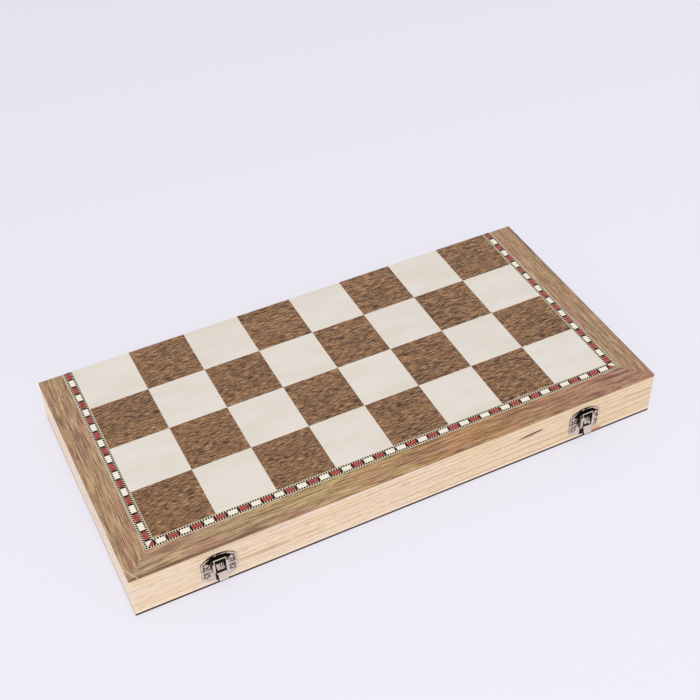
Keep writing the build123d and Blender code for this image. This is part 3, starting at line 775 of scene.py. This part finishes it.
def stamped_plate(kind):
    """A grid cut to the plate's arch, pressed into the mould and closed at the back."""
    upper = kind == "upper"
    low, high = (SEAM + SEAM_GAP, CREST[kind]) if upper else (CREST[kind], SEAM - SEAM_GAP)
    columns, rows = ceil(2 * HALF_WIDE / GRID_STEP), ceil((high - low) / GRID_STEP)
    mesh = upright_grid(GROUND, (low + high) / 2, HALF_WIDE, (high - low) / 2, columns, rows)
    centre, radius = arch(kind)
    reach = asin(HALF_WIDE / radius)
    cuts = 26
    for cut in range(cuts):
        angle = -reach + 2 * reach * (cut + 0.5) / cuts
        outwards = Vector((sin(angle), 0, cos(angle) if upper else -cos(angle)))
        on_plane = Vector((0, GROUND, centre)) + outwards * radius * cos(reach / cuts)
        split(mesh, on_plane, outwards, clear_outer=True)
    layer = relief_of(mesh)
    for vert in mesh.verts:
        x, _, z = vert.co
        depth = mould(kind, x, z)
        on_rim = upper and hypot(x, z - centre) > radius - GUTTER_AT
        # The rim is darkened towards its upper left, and a painted highlight brightens it near x = -2.2.
        rim_darkening_and_painted_highlight = 0.66 * soft_ridge(x + 3, 9.5) - 0.60 * soft_ridge(x + 2.2, 1.7)
        vert[layer] = depth * (1 - rim_darkening_and_painted_highlight if on_rim else 1)
        vert.co.y = GROUND - RIDGE * depth
    for vert in close_back(mesh, 1, FRONT):
        vert[layer] = 0.25 if upper else 0.45
    return mesh


print("grid cells across a plate:", ceil(2 * HALF_WIDE / GRID_STEP))


# %% The ears and the nose that stand out of the plates
def ears_mesh():
    """Two ears that hold the lever's pin: a rod's end each, and a block that joins it to the plate."""
    mesh = bmesh.new()
    for inner, outer in ((-EAR_OUT, -EAR_IN), (EAR_IN, EAR_OUT)):
        add_rod(mesh, KNUCKLE, inner, outer, PIN_Y, PIN_Z)
        add_block(mesh, (inner, PIN_Y, PIN_Z - KNUCKLE), (outer, PLATE_FRONT, PIN_Z + KNUCKLE))
    give_relief(mesh, lambda place: 0.42 if place.y < PIN_Y - 1 else 0.06)
    return mesh


def nose_mesh():
    """The hook that fills the lever's window: its side view drawn out in slices and narrowed at both ends."""
    mesh = bmesh.new()
    side_view = [(PLATE_FRONT, 17.6), (PLATE_FRONT, 19.6), (-111.1, 19.6), (-111.1, 24.6), (-112, 24.6),
                 (-112.9, 23.7), (-114, 22.4), (-114.6, 21.4), (-114.8, 20.6), (-114.6, 19.8), (-114, 19.4)]
    slices, slice_wide = 14, 0.45
    start = -slices * slice_wide / 2
    end = [mesh.faces.new([mesh.verts.new((start, y, z)) for y, z in side_view])]
    for number in range(slices):
        made = bmesh.ops.extrude_face_region(mesh, geom=end)
        bmesh.ops.translate(mesh, vec=(slice_wide, 0, 0), verts=parts_of(made, bmesh.types.BMVert))
        if number:
            bmesh.ops.delete(mesh, geom=end, context="FACES_ONLY")
        end = parts_of(made, bmesh.types.BMFace)
    face_out(mesh)
    layer = relief_of(mesh)
    for vert in mesh.verts:
        wide, front = abs(vert.co.x), vert.co.y < -111.9
        notch = front and vert.co.z > 22.3 and min(abs(vert.co.x - 0.45), abs(vert.co.x - 1.8)) < 0.1
        vert[layer] = 0.10 if notch or not front or wide > 2.8 else 0.62
        if front and wide > 2.4:
            vert.co.y += 0.9 * (wide - 2.4) ** 2
        if notch:
            vert.co.y += 0.5
    return mesh


def add_both_sides(mesh, name, replaced, body=None):
    """Makes a clasp's part twice, left and right. It rides on a half of the box, or else on its own lever."""
    for side, at_x in (("left", -CLASP_AWAY), ("right", CLASP_AWAY)):
        twin = mesh.copy()
        bmesh.ops.translate(twin, vec=(at_x, 0, 0), verts=twin.verts)
        make_piece(f"{side}_{name}", twin, body or f"{side}_lever", f"{side}_{replaced}", "clasp_metal",
                   stamped_nickel)
    mesh.free()


for kind, body, added in (("upper", "lid", ears_mesh), ("lower", "base", nose_mesh)):
    pressed = stamped_plate(kind)
    join(pressed, added())
    print(kind, "plate:", len(pressed.faces), "faces")
    add_both_sides(pressed, f"stamped_{kind}_plate", f"clasp_{kind}_plate", body)


# %% How bright the lever is: rubbed by hands, with painted shade round its window and beside its flap
def lever_tone(x, z, bead):
    """How bright a point of the sheet is: rubbed bright on the flap and the bars, with painted shade over and
    round the window and a painted shadow beside the flap.
    """
    wide = abs(x)
    # Over the window the sheet is painted dark as shade.
    if z > WINDOW_HIGH - 0.01 and wide < 4.05:
        return 0.08
    # Beside the window's lower corners and down the flap's left edge, a painted shadow stands for the gap
    # under the flap.
    right_of_window = z > BEND_Z and 3.65 < x < 4.2
    left_of_window = -4.9 < x < (-3.65 if z > BEND_Z + 0.01 else -2.8)
    if z < WINDOW_LOW + 0.4 and (left_of_window or right_of_window):
        return 0.08 if z > BEND_Z - 3 else 0.34
    if z <= BEND_Z:
        return 0.92
    # Round the window's edge the sheet is painted darker as shade.
    by_window = hypot(max(0, wide - WINDOW_HALF), max(0, WINDOW_LOW - z, z - WINDOW_HIGH)) < 0.2
    return 0.30 if by_window else 0.78 + 0.16 * bead


def roll_tone(place):
    """The roll is rubbed bright on its upper front; below that, over the window, and on its top it is dark as
    painted shade.
    """
    turn = degrees(atan2(place.z - PIN_Z, PIN_Y - place.y))
    return 0.78 if turn < 52 and (turn > 16 or abs(place.x) > 3.9) else 0.10


print("tone of the flap:", lever_tone(0, BEND_Z - 2, 0), "over the window:", lever_tone(0, WINDOW_HIGH, 0))


# %% Bend the lever from a flat sheet
def cut_away(face):
    """Whether a face of the grid lies in the lever's window, or beside its top or its flap."""
    centre = face.calc_center_median()
    wide, z = abs(centre.x), centre.z
    window = wide < WINDOW_HALF and WINDOW_LOW < z < WINDOW_HIGH
    return window or (z > BODY_TOP and wide > ROLL_HALF) or (z < BEND_Z and wide > FLAP_HALF)


def lever_mesh():
    """A grid cut to the lever's outline, bent along its length, thickened and given its folded sides."""
    straight = PIN_Z - BEND_Z
    length = straight + FLAP_RADIUS * FLAP_TURN
    end_z = PIN_Z - length
    mesh = upright_grid(0, PIN_Z - length / 2, LEVER_HALF, length / 2, columns=24, rows=44)
    for x in (-ROLL_HALF, -4.3, -WINDOW_HALF, -2.9, -2.7, WINDOW_HALF, 4.3, ROLL_HALF):
        split(mesh, (x, 0, 0), (1, 0, 0))
    for z in (WINDOW_LOW, WINDOW_HIGH, BEND_Z, BODY_TOP):
        split(mesh, (0, 0, z), (0, 0, 1))
    bmesh.ops.delete(mesh, geom=[face for face in mesh.faces if cut_away(face)], context="FACES")
    for side in (-1, 1):
        for slant in (22, 45, 68):
            centre = Vector((side * CORNER_X, 0, end_z + CORNER_RADIUS))
            outwards = Vector((side * cos(radians(slant)), 0, -sin(radians(slant))))
            near = [face for face in mesh.faces if face.calc_center_median().z < end_z + 4.5]
            parts = list({v for f in near for v in f.verts}) + list({e for f in near for e in f.edges}) + near
            split(mesh, centre + outwards * CORNER_RADIUS, outwards, parts=parts, clear_outer=True)
    layer = relief_of(mesh)
    for vert in mesh.verts:
        x, _, z = vert.co
        bead = soft_ridge(LEVER_HALF - abs(x), 0.9) if z > BEND_Z else 0
        crown = 0.12 * (1 - (x / FLAP_HALF) ** 2) if z < BEND_Z else 0
        out = 0.16 * bead + crown
        vert[layer] = lever_tone(x, z, bead)
        vert.co.y = LEVER_FRONT - out
        if PIN_Z - z > straight:
            angle = (PIN_Z - z - straight) / FLAP_RADIUS
            radius = FLAP_RADIUS - out
            vert.co.y = LEVER_FRONT - FLAP_RADIUS + radius * cos(angle)
            vert.co.z = BEND_Z - radius * sin(angle)
    bmesh.ops.solidify(mesh, geom=mesh.faces[:], thickness=-SHEET)
    face_out(mesh)
    # The back of the sheet above the bend is painted dark as shade, where it faces the plate and inside the
    # window's edges.
    for vert in mesh.verts:
        if vert.co.y > LEVER_FRONT + 0.45 and vert.co.z > BEND_Z:
            vert[layer] = 0.15
    folds = bmesh.new()
    for inner, outer in ((-LEVER_HALF, -FOLD_IN), (FOLD_IN, LEVER_HALF)):
        add_block(folds, (inner, LEVER_FRONT + 0.3, BEND_Z), (outer, FOLD_BACK, BODY_TOP), bevel=0.12)
    give_relief(folds, lambda place: 0.55 if place.y < -112.6 else 0.25)
    join(mesh, folds)
    roll = bmesh.new()
    add_rod(roll, KNUCKLE, -ROLL_HALF, ROLL_HALF, PIN_Y, PIN_Z, segments=32)
    for x in (-4, -3.8, 3.8, 4):
        split(roll, (x, 0, 0), (1, 0, 0))
    give_relief(roll, roll_tone)
    join(mesh, roll)
    return mesh


bent = lever_mesh()
print("lever:", len(bent.faces), "faces")
add_both_sides(bent, "bent_lever", "clasp_lever")

# %% [markdown]
# ## Eased wooden edges
#
# No wooden edge that a hand meets is left razor sharp: the maker breaks it with sandpaper, and the narrow
# rounding catches the light. The CAD wood is copied here, its loose triangles are merged, and planes shave
# the outer edges: three planes, each turned a bit further, make one small rounding. The corners that stand
# up get the largest, the edge along the playing face a smaller one, and the sawn seam only a touch. This
# step works in metres, as the CAD model does.

# %% Shave the outer edges of every wooden piece that has one
def rounding(corner, first, second, radius):
    """The planes of a small rounding between two outward directions, as points and normals."""
    centre = Vector(corner) - radius * (Vector(first) + Vector(second))
    for slant in (22.5, 45, 67.5):
        outwards = Vector(first) * cos(radians(slant)) + Vector(second) * sin(radians(slant))
        yield centre + outwards * radius, outwards


END, SIDE, RIM_GAP = HALF_X * MM, HALF_Y * MM, 0.2
UPRIGHT_EASE, FACE_EASE, SEAM_EASE = 0.8 * MM, 0.45 * MM, 0.25 * MM
outer_faces = [((-1, 0, 0), (-END, 0)), ((1, 0, 0), (END, 0)),
               ((0, -1, 0), (0, -SIDE)), ((0, 1, 0), (0, SIDE))]
upright = [plane for x in (-1, 1) for y in (-1, 1)
           for plane in rounding((x * END, y * SIDE, 0), (x, 0, 0), (0, y, 0), UPRIGHT_EASE)]
wooden = {**dict.fromkeys(wall_cuts, "pine"), "board_panel": "panel_edge",
          **dict.fromkeys(strips, "border_veneer")}
for half, face_z, rim_z, up in (("base", 0, (SEAM - RIM_GAP / 2) * MM, -1),
                                ("lid", CLOSED * MM, (SEAM + RIM_GAP / 2) * MM, 1)):
    planes = list(upright)
    for outwards, (x, y) in outer_faces:
        planes += rounding((x, y, face_z), outwards, (0, 0, up), FACE_EASE)
        planes += rounding((x, y, rim_z), outwards, (0, 0, -up), SEAM_EASE)
    for kind, slot in wooden.items():
        node = cad_nodes[f"{half}_{kind}"]
        mesh = bmesh.new()
        mesh.from_mesh(node.data)
        bmesh.ops.remove_doubles(mesh, verts=mesh.verts, dist=1e-6)
        for point, normal in planes:
            if max((vert.co - point).dot(normal) for vert in mesh.verts) > 1e-6:
                split(mesh, point, normal, dist=1e-7, clear_outer=True)
                if open_edges(mesh):
                    bmesh.ops.edgeloop_fill(mesh, edges=open_edges(mesh))
        name = f"{half}_{kind}_eased"
        add_piece(name, to_data(name, mesh), half, f"{half}_{kind}", slot, node.data.materials[0])
print("wooden pieces with eased edges:", 2 * len(wooden))

# %% [markdown]
# ## Felt
#
# Each half is lined with one sheet of green felt, cut to the inside of the walls and glued to the board.
# Felt is pressed wool: it has no weave, only short fibres that lie in every direction, so its colour is
# mottled in fine crossing strokes, and it scatters light at a low angle. The sheet is a grid with the
# little unevenness that glue leaves, given its thickness, with its cut edge a bit rounded.

# %% Two felt sheets
def felt_material():
    felt = Finish("green_felt")
    x, y, _ = felt.place()
    one_way = felt.noise((x * 1.5 + y * 0.4, y * 0.35, 0), 3, 0.7)
    other_way = felt.noise((x * 0.35, y * 1.5 - x * 0.4, 7), 3, 0.7)
    cloud = felt.noise((x * 0.03, y * 0.03, 3), 3)
    strokes = one_way * 0.5 + other_way * 0.5
    colour = felt.colours(strokes, (0.36, (36, 78, 56)), (0.5, (56, 106, 78)), (0.64, (92, 142, 110)))
    colour = felt.layered(colour, (cloud.ramp(0.35, 0.65, 0, 0.30), (50, 92, 66)))
    return felt.surface(colour, 0.95, strokes, 0.35, specular=0.15, Sheen_Weight=0.25, Sheen_Roughness=0.5)


WALL, FELT_CELL = 8, 4
FELT_LENGTH, FELT_DEPTH, FELT_THICK, FELT_PLAY = LENGTH - 2 * WALL, DEPTH - 2 * WALL, 0.6, 0.1
green_felt = felt_material()
for half, lies_at, up, held in (("base", PANEL, 1, "laid"), ("lid", CLOSED - PANEL, -1, "stretched")):
    mesh = bmesh.new()
    spread = Matrix.Diagonal((FELT_LENGTH / 2 - FELT_PLAY, FELT_DEPTH / 2 - FELT_PLAY, 1, 1))
    bmesh.ops.create_grid(mesh, x_segments=FELT_LENGTH // FELT_CELL, y_segments=FELT_DEPTH // FELT_CELL,
                          size=1, matrix=spread)
    for vert in mesh.verts:
        x, y, _ = vert.co
        vert.co.z = FELT_THICK - 0.05 * (1 + sin(x * 0.21) * cos(y * 0.17 + x * 0.05))
        if vert.is_boundary:
            vert.co.z -= 0.15
            vert.co.x *= 1 - 0.0004 * (1 + sin(y * 0.9))
            vert.co.y *= 1 - 0.0008 * (1 + sin(vert.co.x * 0.7))
    close_back(mesh, 2, 0)
    bmesh.ops.scale(mesh, vec=(1, 1, up), verts=mesh.verts)
    bmesh.ops.translate(mesh, vec=(0, 0, lies_at), verts=mesh.verts)
    face_out(mesh)
    sheet = make_piece(f"{half}_felt_sheet", mesh, half, f"{half}_felt_lining", "felt", green_felt)
print("felt sheets:", FELT_LENGTH, "by", FELT_DEPTH, "mm")

# %% [markdown]
# ## The chessmen
#
# The chessmen are turned on a lathe from two woods and lacquered. A lathe is a profile that is spun, and
# that is how they are made here too: each profile is a short list of radii and heights, with the curved
# stretches bent by one helper, and it is spun round the axis. What a lathe can't do comes after: the
# queen's crown is filed, the bishop's mitre sawn, the rook's battlements cut out, the king's cross glued
# on, and the knight carved.

# %% Wood for the two sides
def turned_wood(name, pale, deep, streak):
    wood = Finish(name)
    x, y, z = wood.place()
    sway = wood.noise((x * 0.05, y * 0.02, z * 0.05))
    rings = wood.noise((x * 0.35 + sway * 2, y * 0.015, z * 0.35), 3)
    fibre = wood.noise((x * 2, y * 0.08, z * 2))
    colour = wood.mix(rings.ramp(0.35, 0.65), tint(*pale), tint(*deep))
    colour = wood.layered(colour, (fibre.ramp(0.5, 0.72, 0, 0.4), streak))
    return wood.surface(colour, 0.32, fibre, -0.02, specular=0.5, Coat_Weight=0.35, Coat_Roughness=0.18)


boxwood = turned_wood("boxwood", (226, 192, 140), (206, 166, 112), (176, 130, 82))
ebonised = turned_wood("ebonised", (66, 42, 34), (46, 30, 26), (28, 19, 17))
print("woods:", boxwood.name, "and", ebonised.name)


# %% Turn a chessman on the lathe
def bow(start, bend, end, steps=6):
    """Points of a curve that leaves start towards bend and arrives at end."""
    spaced = [step / steps for step in range(steps + 1)]
    return [tuple(a * (1 - t) ** 2 + 2 * b * t * (1 - t) + c * t * t for a, b, c in zip(start, bend, end))
            for t in spaced]


def foot_and_stem(foot, neck, collar, stem):
    """The profile that all chessmen share: a foot with two mouldings, a hollow stem and a collar."""
    ankle = (foot + neck) / 2
    return [(0, 0), (foot - 1.6, 0), (foot - 0.5, 0), (foot, 0.5), (foot, 2), (foot - 0.35, 2.35),
            (foot - 1, 2.5), (foot - 1, 2.85),
            *bow((foot - 0.5, 3.1), (foot - 0.2, 5.3), (ankle + 1, 5.8)), (ankle + 0.75, 6),
            (ankle + 0.75, 6.5), (ankle + 0.1, 6.9),
            *bow((ankle - 0.5, 7.3), (neck + 0.2, 7 + (stem - 7) * 0.40), (neck, stem - 0.7), 10),
            (neck + 0.4, stem - 0.3), (collar - 0.7, stem), (collar, stem + 0.6), (collar, stem + 1.1),
            (collar - 0.7, stem + 1.6), (neck + 1, stem + 1.9), (neck + 1, stem + 2.3), (neck, stem + 2.6)]


def spin_profile(profile, steps=32):
    """Spins a profile of radii and heights; the faces on the ground get the second material, the felt."""
    mesh = bmesh.new()
    verts = [mesh.verts.new((radius, 0, height)) for radius, height in profile]
    edges = [mesh.edges.new(pair) for pair in zip(verts, verts[1:])]
    bmesh.ops.spin(mesh, geom=verts + edges, cent=(0, 0, 0), axis=(0, 0, 1), angle=2 * pi, steps=steps,
                   use_merge=True)
    bmesh.ops.remove_doubles(mesh, verts=mesh.verts, dist=1e-4)
    face_out(mesh)
    for face in mesh.faces:
        face.material_index = 1 if max(vert.co.z for vert in face.verts) < 0.01 else 0
    return mesh


def add_ball(mesh, radius, height, x=0, y=0):
    bmesh.ops.create_uvsphere(mesh, u_segments=20, v_segments=12, radius=radius,
                              matrix=Matrix.Translation((x, y, height)))


def raise_faces(mesh, faces, by):
    """Pushes faces out along a vector and gives the moved faces."""
    made = bmesh.ops.extrude_face_region(mesh, geom=faces)
    bmesh.ops.translate(mesh, vec=by, verts=parts_of(made, bmesh.types.BMVert))
    bmesh.ops.delete(mesh, geom=faces, context="FACES_ONLY")
    return parts_of(made, bmesh.types.BMFace)


print("a foot and stem have", len(foot_and_stem(12, 3.6, 6.6, 25)), "points")


# %% The pawn and the rook
FOOT = {"king": 14.5, "queen": 14.5, "bishop": 13.5, "knight": 13.5, "rook": 13.5, "pawn": 12}
turned_men = {}


def make_man(maker):
    """Makes one chessman and keeps it under its name."""
    kind = maker.__name__
    turned_men[kind] = maker()
    print("the", kind, "is", round(max(vert.co.z for vert in turned_men[kind].verts), 1), "mm high")


def pawn():
    head, top = 6.6, 42
    ball = top - head
    round_head = [(head * sin(radians(turn)), ball - head * cos(radians(turn)))
                  for turn in range(34, 180, 12)]
    return spin_profile(foot_and_stem(FOOT["pawn"], 3.6, head, 25) + round_head + [(0, top)])


def rook():
    neck, head, top = 7, 9.4, 48
    sill = top - 3
    profile = foot_and_stem(FOOT["rook"], neck, 8.6, 32)
    profile += [(neck, 36.8), *bow((neck + 0.2, 37.2), (head, 38), (head, 40.4), 4), (head, 41),
                (head - 0.5, 41.4), (head, 41.8), (head, sill), (head - 2.4, sill), (head - 2.4, sill - 1),
                (0, sill - 1)]
    mesh = spin_profile(profile, 48)
    merlons = []
    for face in mesh.faces:
        x, y, z = face.calc_center_median()
        if abs(z - sill) < 0.01 and degrees(atan2(y, x)) % 60 > 15:
            merlons.append(face)
    raise_faces(mesh, merlons, (0, 0, top - sill))
    face_out(mesh)
    return mesh


make_man(pawn)
make_man(rook)


# %% The bishop, with its sawn mitre
def bishop():
    neck, head, top, stem = 4, 6.2, 64, 37
    cheek = stem + 2.4 + head
    profile = foot_and_stem(FOOT["bishop"], neck, 7.2, stem)
    profile += [*bow((neck, 40.2), (head + 0.6, 41), (head, cheek), 6)[1:],
                *bow((head, cheek), (head - 0.2, cheek + 8.5), (1.4, top - 3.4), 12)[1:]]
    mesh = spin_profile(profile + [(0, top - 3.3)])
    middle = Vector((head * 0.8, 0, cheek + head * 0.9))
    across = Vector((-sin(radians(35)), 0, cos(radians(35))))
    for offset in (-0.9, -0.55, 0.55, 0.9):
        split(mesh, middle + across * offset, across, dist=1e-4)
    for vert in mesh.verts:
        if abs((vert.co - middle).dot(across)) < 0.6 and vert.co.x > 0.6 and vert.co.z > 38:
            vert.co.x = 0.6 + (vert.co.x - 0.6) * 0.25
    add_ball(mesh, 1.8, top - 1.8)
    return mesh


make_man(bishop)


# %% The queen and the king
def queen():
    neck, head, top = 4.4, 7.4, 74
    brim = top - 5.4
    profile = foot_and_stem(FOOT["queen"], neck, 8, 46)
    profile += [*bow((neck, 49.2), (neck + 0.6, 60), (head - 0.4, brim - 2), 8)[1:], (head, brim - 1.2),
                (head + 0.1, brim), (head - 0.7, brim + 0.1), (head - 1.3, brim - 1),
                (head - 2.6, brim - 1.3), *bow((3.4, brim - 0.4), (3, brim + 1.2), (1.6, brim + 1.5), 4),
                (0, brim + 1.6)]
    mesh = spin_profile(profile, 48)
    for vert in mesh.verts:
        x, y, z = vert.co
        if hypot(x, y) > head - 1 and z > brim - 0.5:
            vert.co.z -= 1.6 * (1 - abs(cos(4 * atan2(y, x)))) ** 0.7
    add_ball(mesh, 2.2, top - 2.2)
    return mesh


def king():
    neck, head, top = 4.6, 7.6, 84
    brim = top - 13
    profile = foot_and_stem(FOOT["king"], neck, 8.4, 52)
    profile += [*bow((neck, 55.2), (neck + 0.8, 63), (head - 0.3, brim - 1.8), 8)[1:], (head, brim - 1.1),
                (head + 0.1, brim), (head - 0.8, brim + 0.4), (head - 1.3, brim + 0.3),
                *bow((head - 1.6, brim + 0.8), (head * 0.72, brim + 3.2), (2.6, brim + 3.9), 6),
                (2.2, brim + 4.4), (0, brim + 4.5)]
    mesh = spin_profile(profile)
    flare, low, arm_z, arm_tall = 1.35, brim + 3.8, top - 3.8, 3
    post = cuboid(mesh, (0, 0, (low + top) / 2), (2.6, 2.6, top - low))
    for vert in post:
        if vert.co.z > (low + top) / 2:
            vert.co.x *= flare
    ease(mesh, edges_at(post), 0.35)
    arms = cuboid(mesh, (0, 0, arm_z), (8, 2.2, arm_tall * 0.8))
    for vert in arms:
        vert.co.z = arm_z + (vert.co.z - arm_z) * flare
    ease(mesh, edges_at(arms), 0.35)
    return mesh


make_man(queen)
make_man(king)


# %% The knight, carved from a block
def knight():
    mesh = spin_profile(foot_and_stem(FOOT["knight"], 8.6, 9.6, 15) + [(0, 17.7)])
    outline = [(-8, 16.2), (-9.4, 20.5), (-10.3, 22), (-9.9, 25), (-10.6, 27), (-9.9, 30),
               (-10.3, 32.5), (-9.3, 35.5), (-9.5, 38), (-8.2, 41), (-8, 43.5), (-6.4, 46),
               (-5.8, 48.5), (-3.6, 50.5), (-1.6, 52.4), (0, 55.6), (1.9, 52.2), (3.8, 50), (6, 46.4),
               (9.4, 41.2), (11.7, 37.8), (12.4, 34.6), (11.4, 31.4), (9, 30.2), (7.2, 32), (4.6, 33.6),
               (2.8, 31.6), (2.5, 27.6), (4.4, 22), (7.6, 16.2)]
    head = bmesh.new()
    cheek = raise_faces(head, [head.faces.new([head.verts.new((x, 0, z)) for x, z in outline])], (0, -3, 0))
    for inset, out in ((0.9, 1.5), (1.3, 0.8)):
        bmesh.ops.inset_region(head, faces=cheek, thickness=inset, use_even_offset=True)
        bmesh.ops.translate(head, vec=(0, -out, 0), verts=list({v for f in cheek for v in f.verts}))
    bmesh.ops.mirror(head, geom=everything(head), matrix=Matrix.Identity(4), merge_dist=1e-4, axis="Y")
    bmesh.ops.remove_doubles(head, verts=head.verts, dist=1e-4)
    face_out(head)
    for vert in head.verts:
        taper = 1 if vert.co.z < 40 else 1 - 0.30 * (vert.co.z - 40) / 16
        slim = 1 - 0.34 * max(0, min(1, (vert.co.x - 3) / 8))
        vert.co.y *= taper * slim
    bmesh.ops.triangulate(head, faces=[face for face in head.faces if len(face.verts) > 4])
    mane = ((-9.4, 22.5), (-9.7, 27), (-9.5, 31.5), (-8.8, 36), (-7.6, 40.5), (-5.9, 45), (-3.2, 49.2))
    lock = Matrix.Rotation(radians(-12), 4, "Y") @ Matrix.Diagonal((2, 4.3, 2.4, 1))
    for x, z in mane:
        bmesh.ops.create_uvsphere(head, u_segments=16, v_segments=10, radius=1,
                                  matrix=Matrix.Translation((x, 0, z)) @ lock)
    for side in (-1, 1):
        eye, nostril = (1.15, 45.2, 3.2, side * 4.2), (0.8, 35.2, 10.6, side * 3)
        add_ball(head, *eye)
        add_ball(head, *nostril)
        ear = (Matrix.Translation((-0.6, side * 2.3, 52.2)) @ Matrix.Rotation(radians(-8 * side), 4, "X")
               @ Matrix.Rotation(radians(6), 4, "Y"))
        bmesh.ops.create_cone(head, cap_ends=True, segments=12, radius1=2.7, radius2=0.7, depth=7.4,
                              matrix=ear)
    join(mesh, head)
    return mesh


make_man(knight)

# %% [markdown]
# ## Laying the men into the box
#
# A chessman on its side touches the felt with the rim of its foot and with its head, so it lies at a tilt
# that follows from its shape. The tilt is found by halving: it grows until something above the foot
# touches.

# %% Lay them on the felt, as they are kept in the closed box
FOOT_HIGH, RIM_HIGH, SINK, TRAY_GAP = 7, 2, 0.03, 4
ROOM, FAR_ROW, FELT_TOP = LENGTH - 2 * (WALL + TRAY_GAP), HALF_Y - WALL - TRAY_GAP, PANEL + FELT_THICK


def foot_rise(foot, tilt):
    """How high the foot's middle lies when its rim touches the felt."""
    return foot * cos(tilt) + RIM_HIGH * sin(tilt)


def resting_tilt(mesh, foot):
    """How far a chessman on its side tips forward from its foot's rim until its head touches."""
    above = [vert.co for vert in mesh.verts if vert.co.z > FOOT_HIGH]
    low, high = 0, radians(30)
    for _ in range(20):
        tilt = (low + high) / 2
        lowest = max(place.y * cos(tilt) + place.z * sin(tilt) for place in above)
        low, high = (tilt, high) if lowest < foot_rise(foot, tilt) else (low, tilt)
    return low


tilts = {kind: resting_tilt(mesh, FOOT[kind]) for kind, mesh in turned_men.items()}
order = ["rook", "knight", "bishop", "queen", "king", "bishop", "knight", "rook"] + ["pawn"] * 4
gap = (ROOM - sum(2 * FOOT[kind] for kind in order)) / (len(order) - 1)
for colour, side, material in (("white", -1, boxwood), ("black", 1, ebonised)):
    laid, x = {}, -ROOM / 2
    for kind in order:
        foot, tilt = FOOT[kind], tilts[kind]
        for y, heading in [(side * FAR_ROW, -side)] + ([(side * TRAY_GAP, side)] if kind == "pawn" else []):
            stand = (Matrix.Translation((x + foot, y, FELT_TOP + foot_rise(foot, tilt) - SINK))
                     @ Matrix.Rotation(0 if heading > 0 else pi, 4, "Z")
                     @ Matrix.Rotation(-pi / 2 - tilt, 4, "X"))
            man = turned_men[kind].copy()
            bmesh.ops.transform(man, matrix=stand, verts=man.verts)
            if kind in laid:
                join(laid[kind], man)
            else:
                laid[kind] = man
        x += 2 * foot + gap
    for kind, mesh in laid.items():
        node = f"{colour}_{kind}" + ("" if kind in ("king", "queen") else "s")
        piece = make_piece(f"{node}_turned", mesh, "base", node, f"{colour}_men", material)
        piece.data.materials.append(green_felt)
for mesh in turned_men.values():
    mesh.free()
print("tilts in degrees:", {kind: round(degrees(tilt), 1) for kind, tilt in tilts.items()})

# %% [markdown]
#
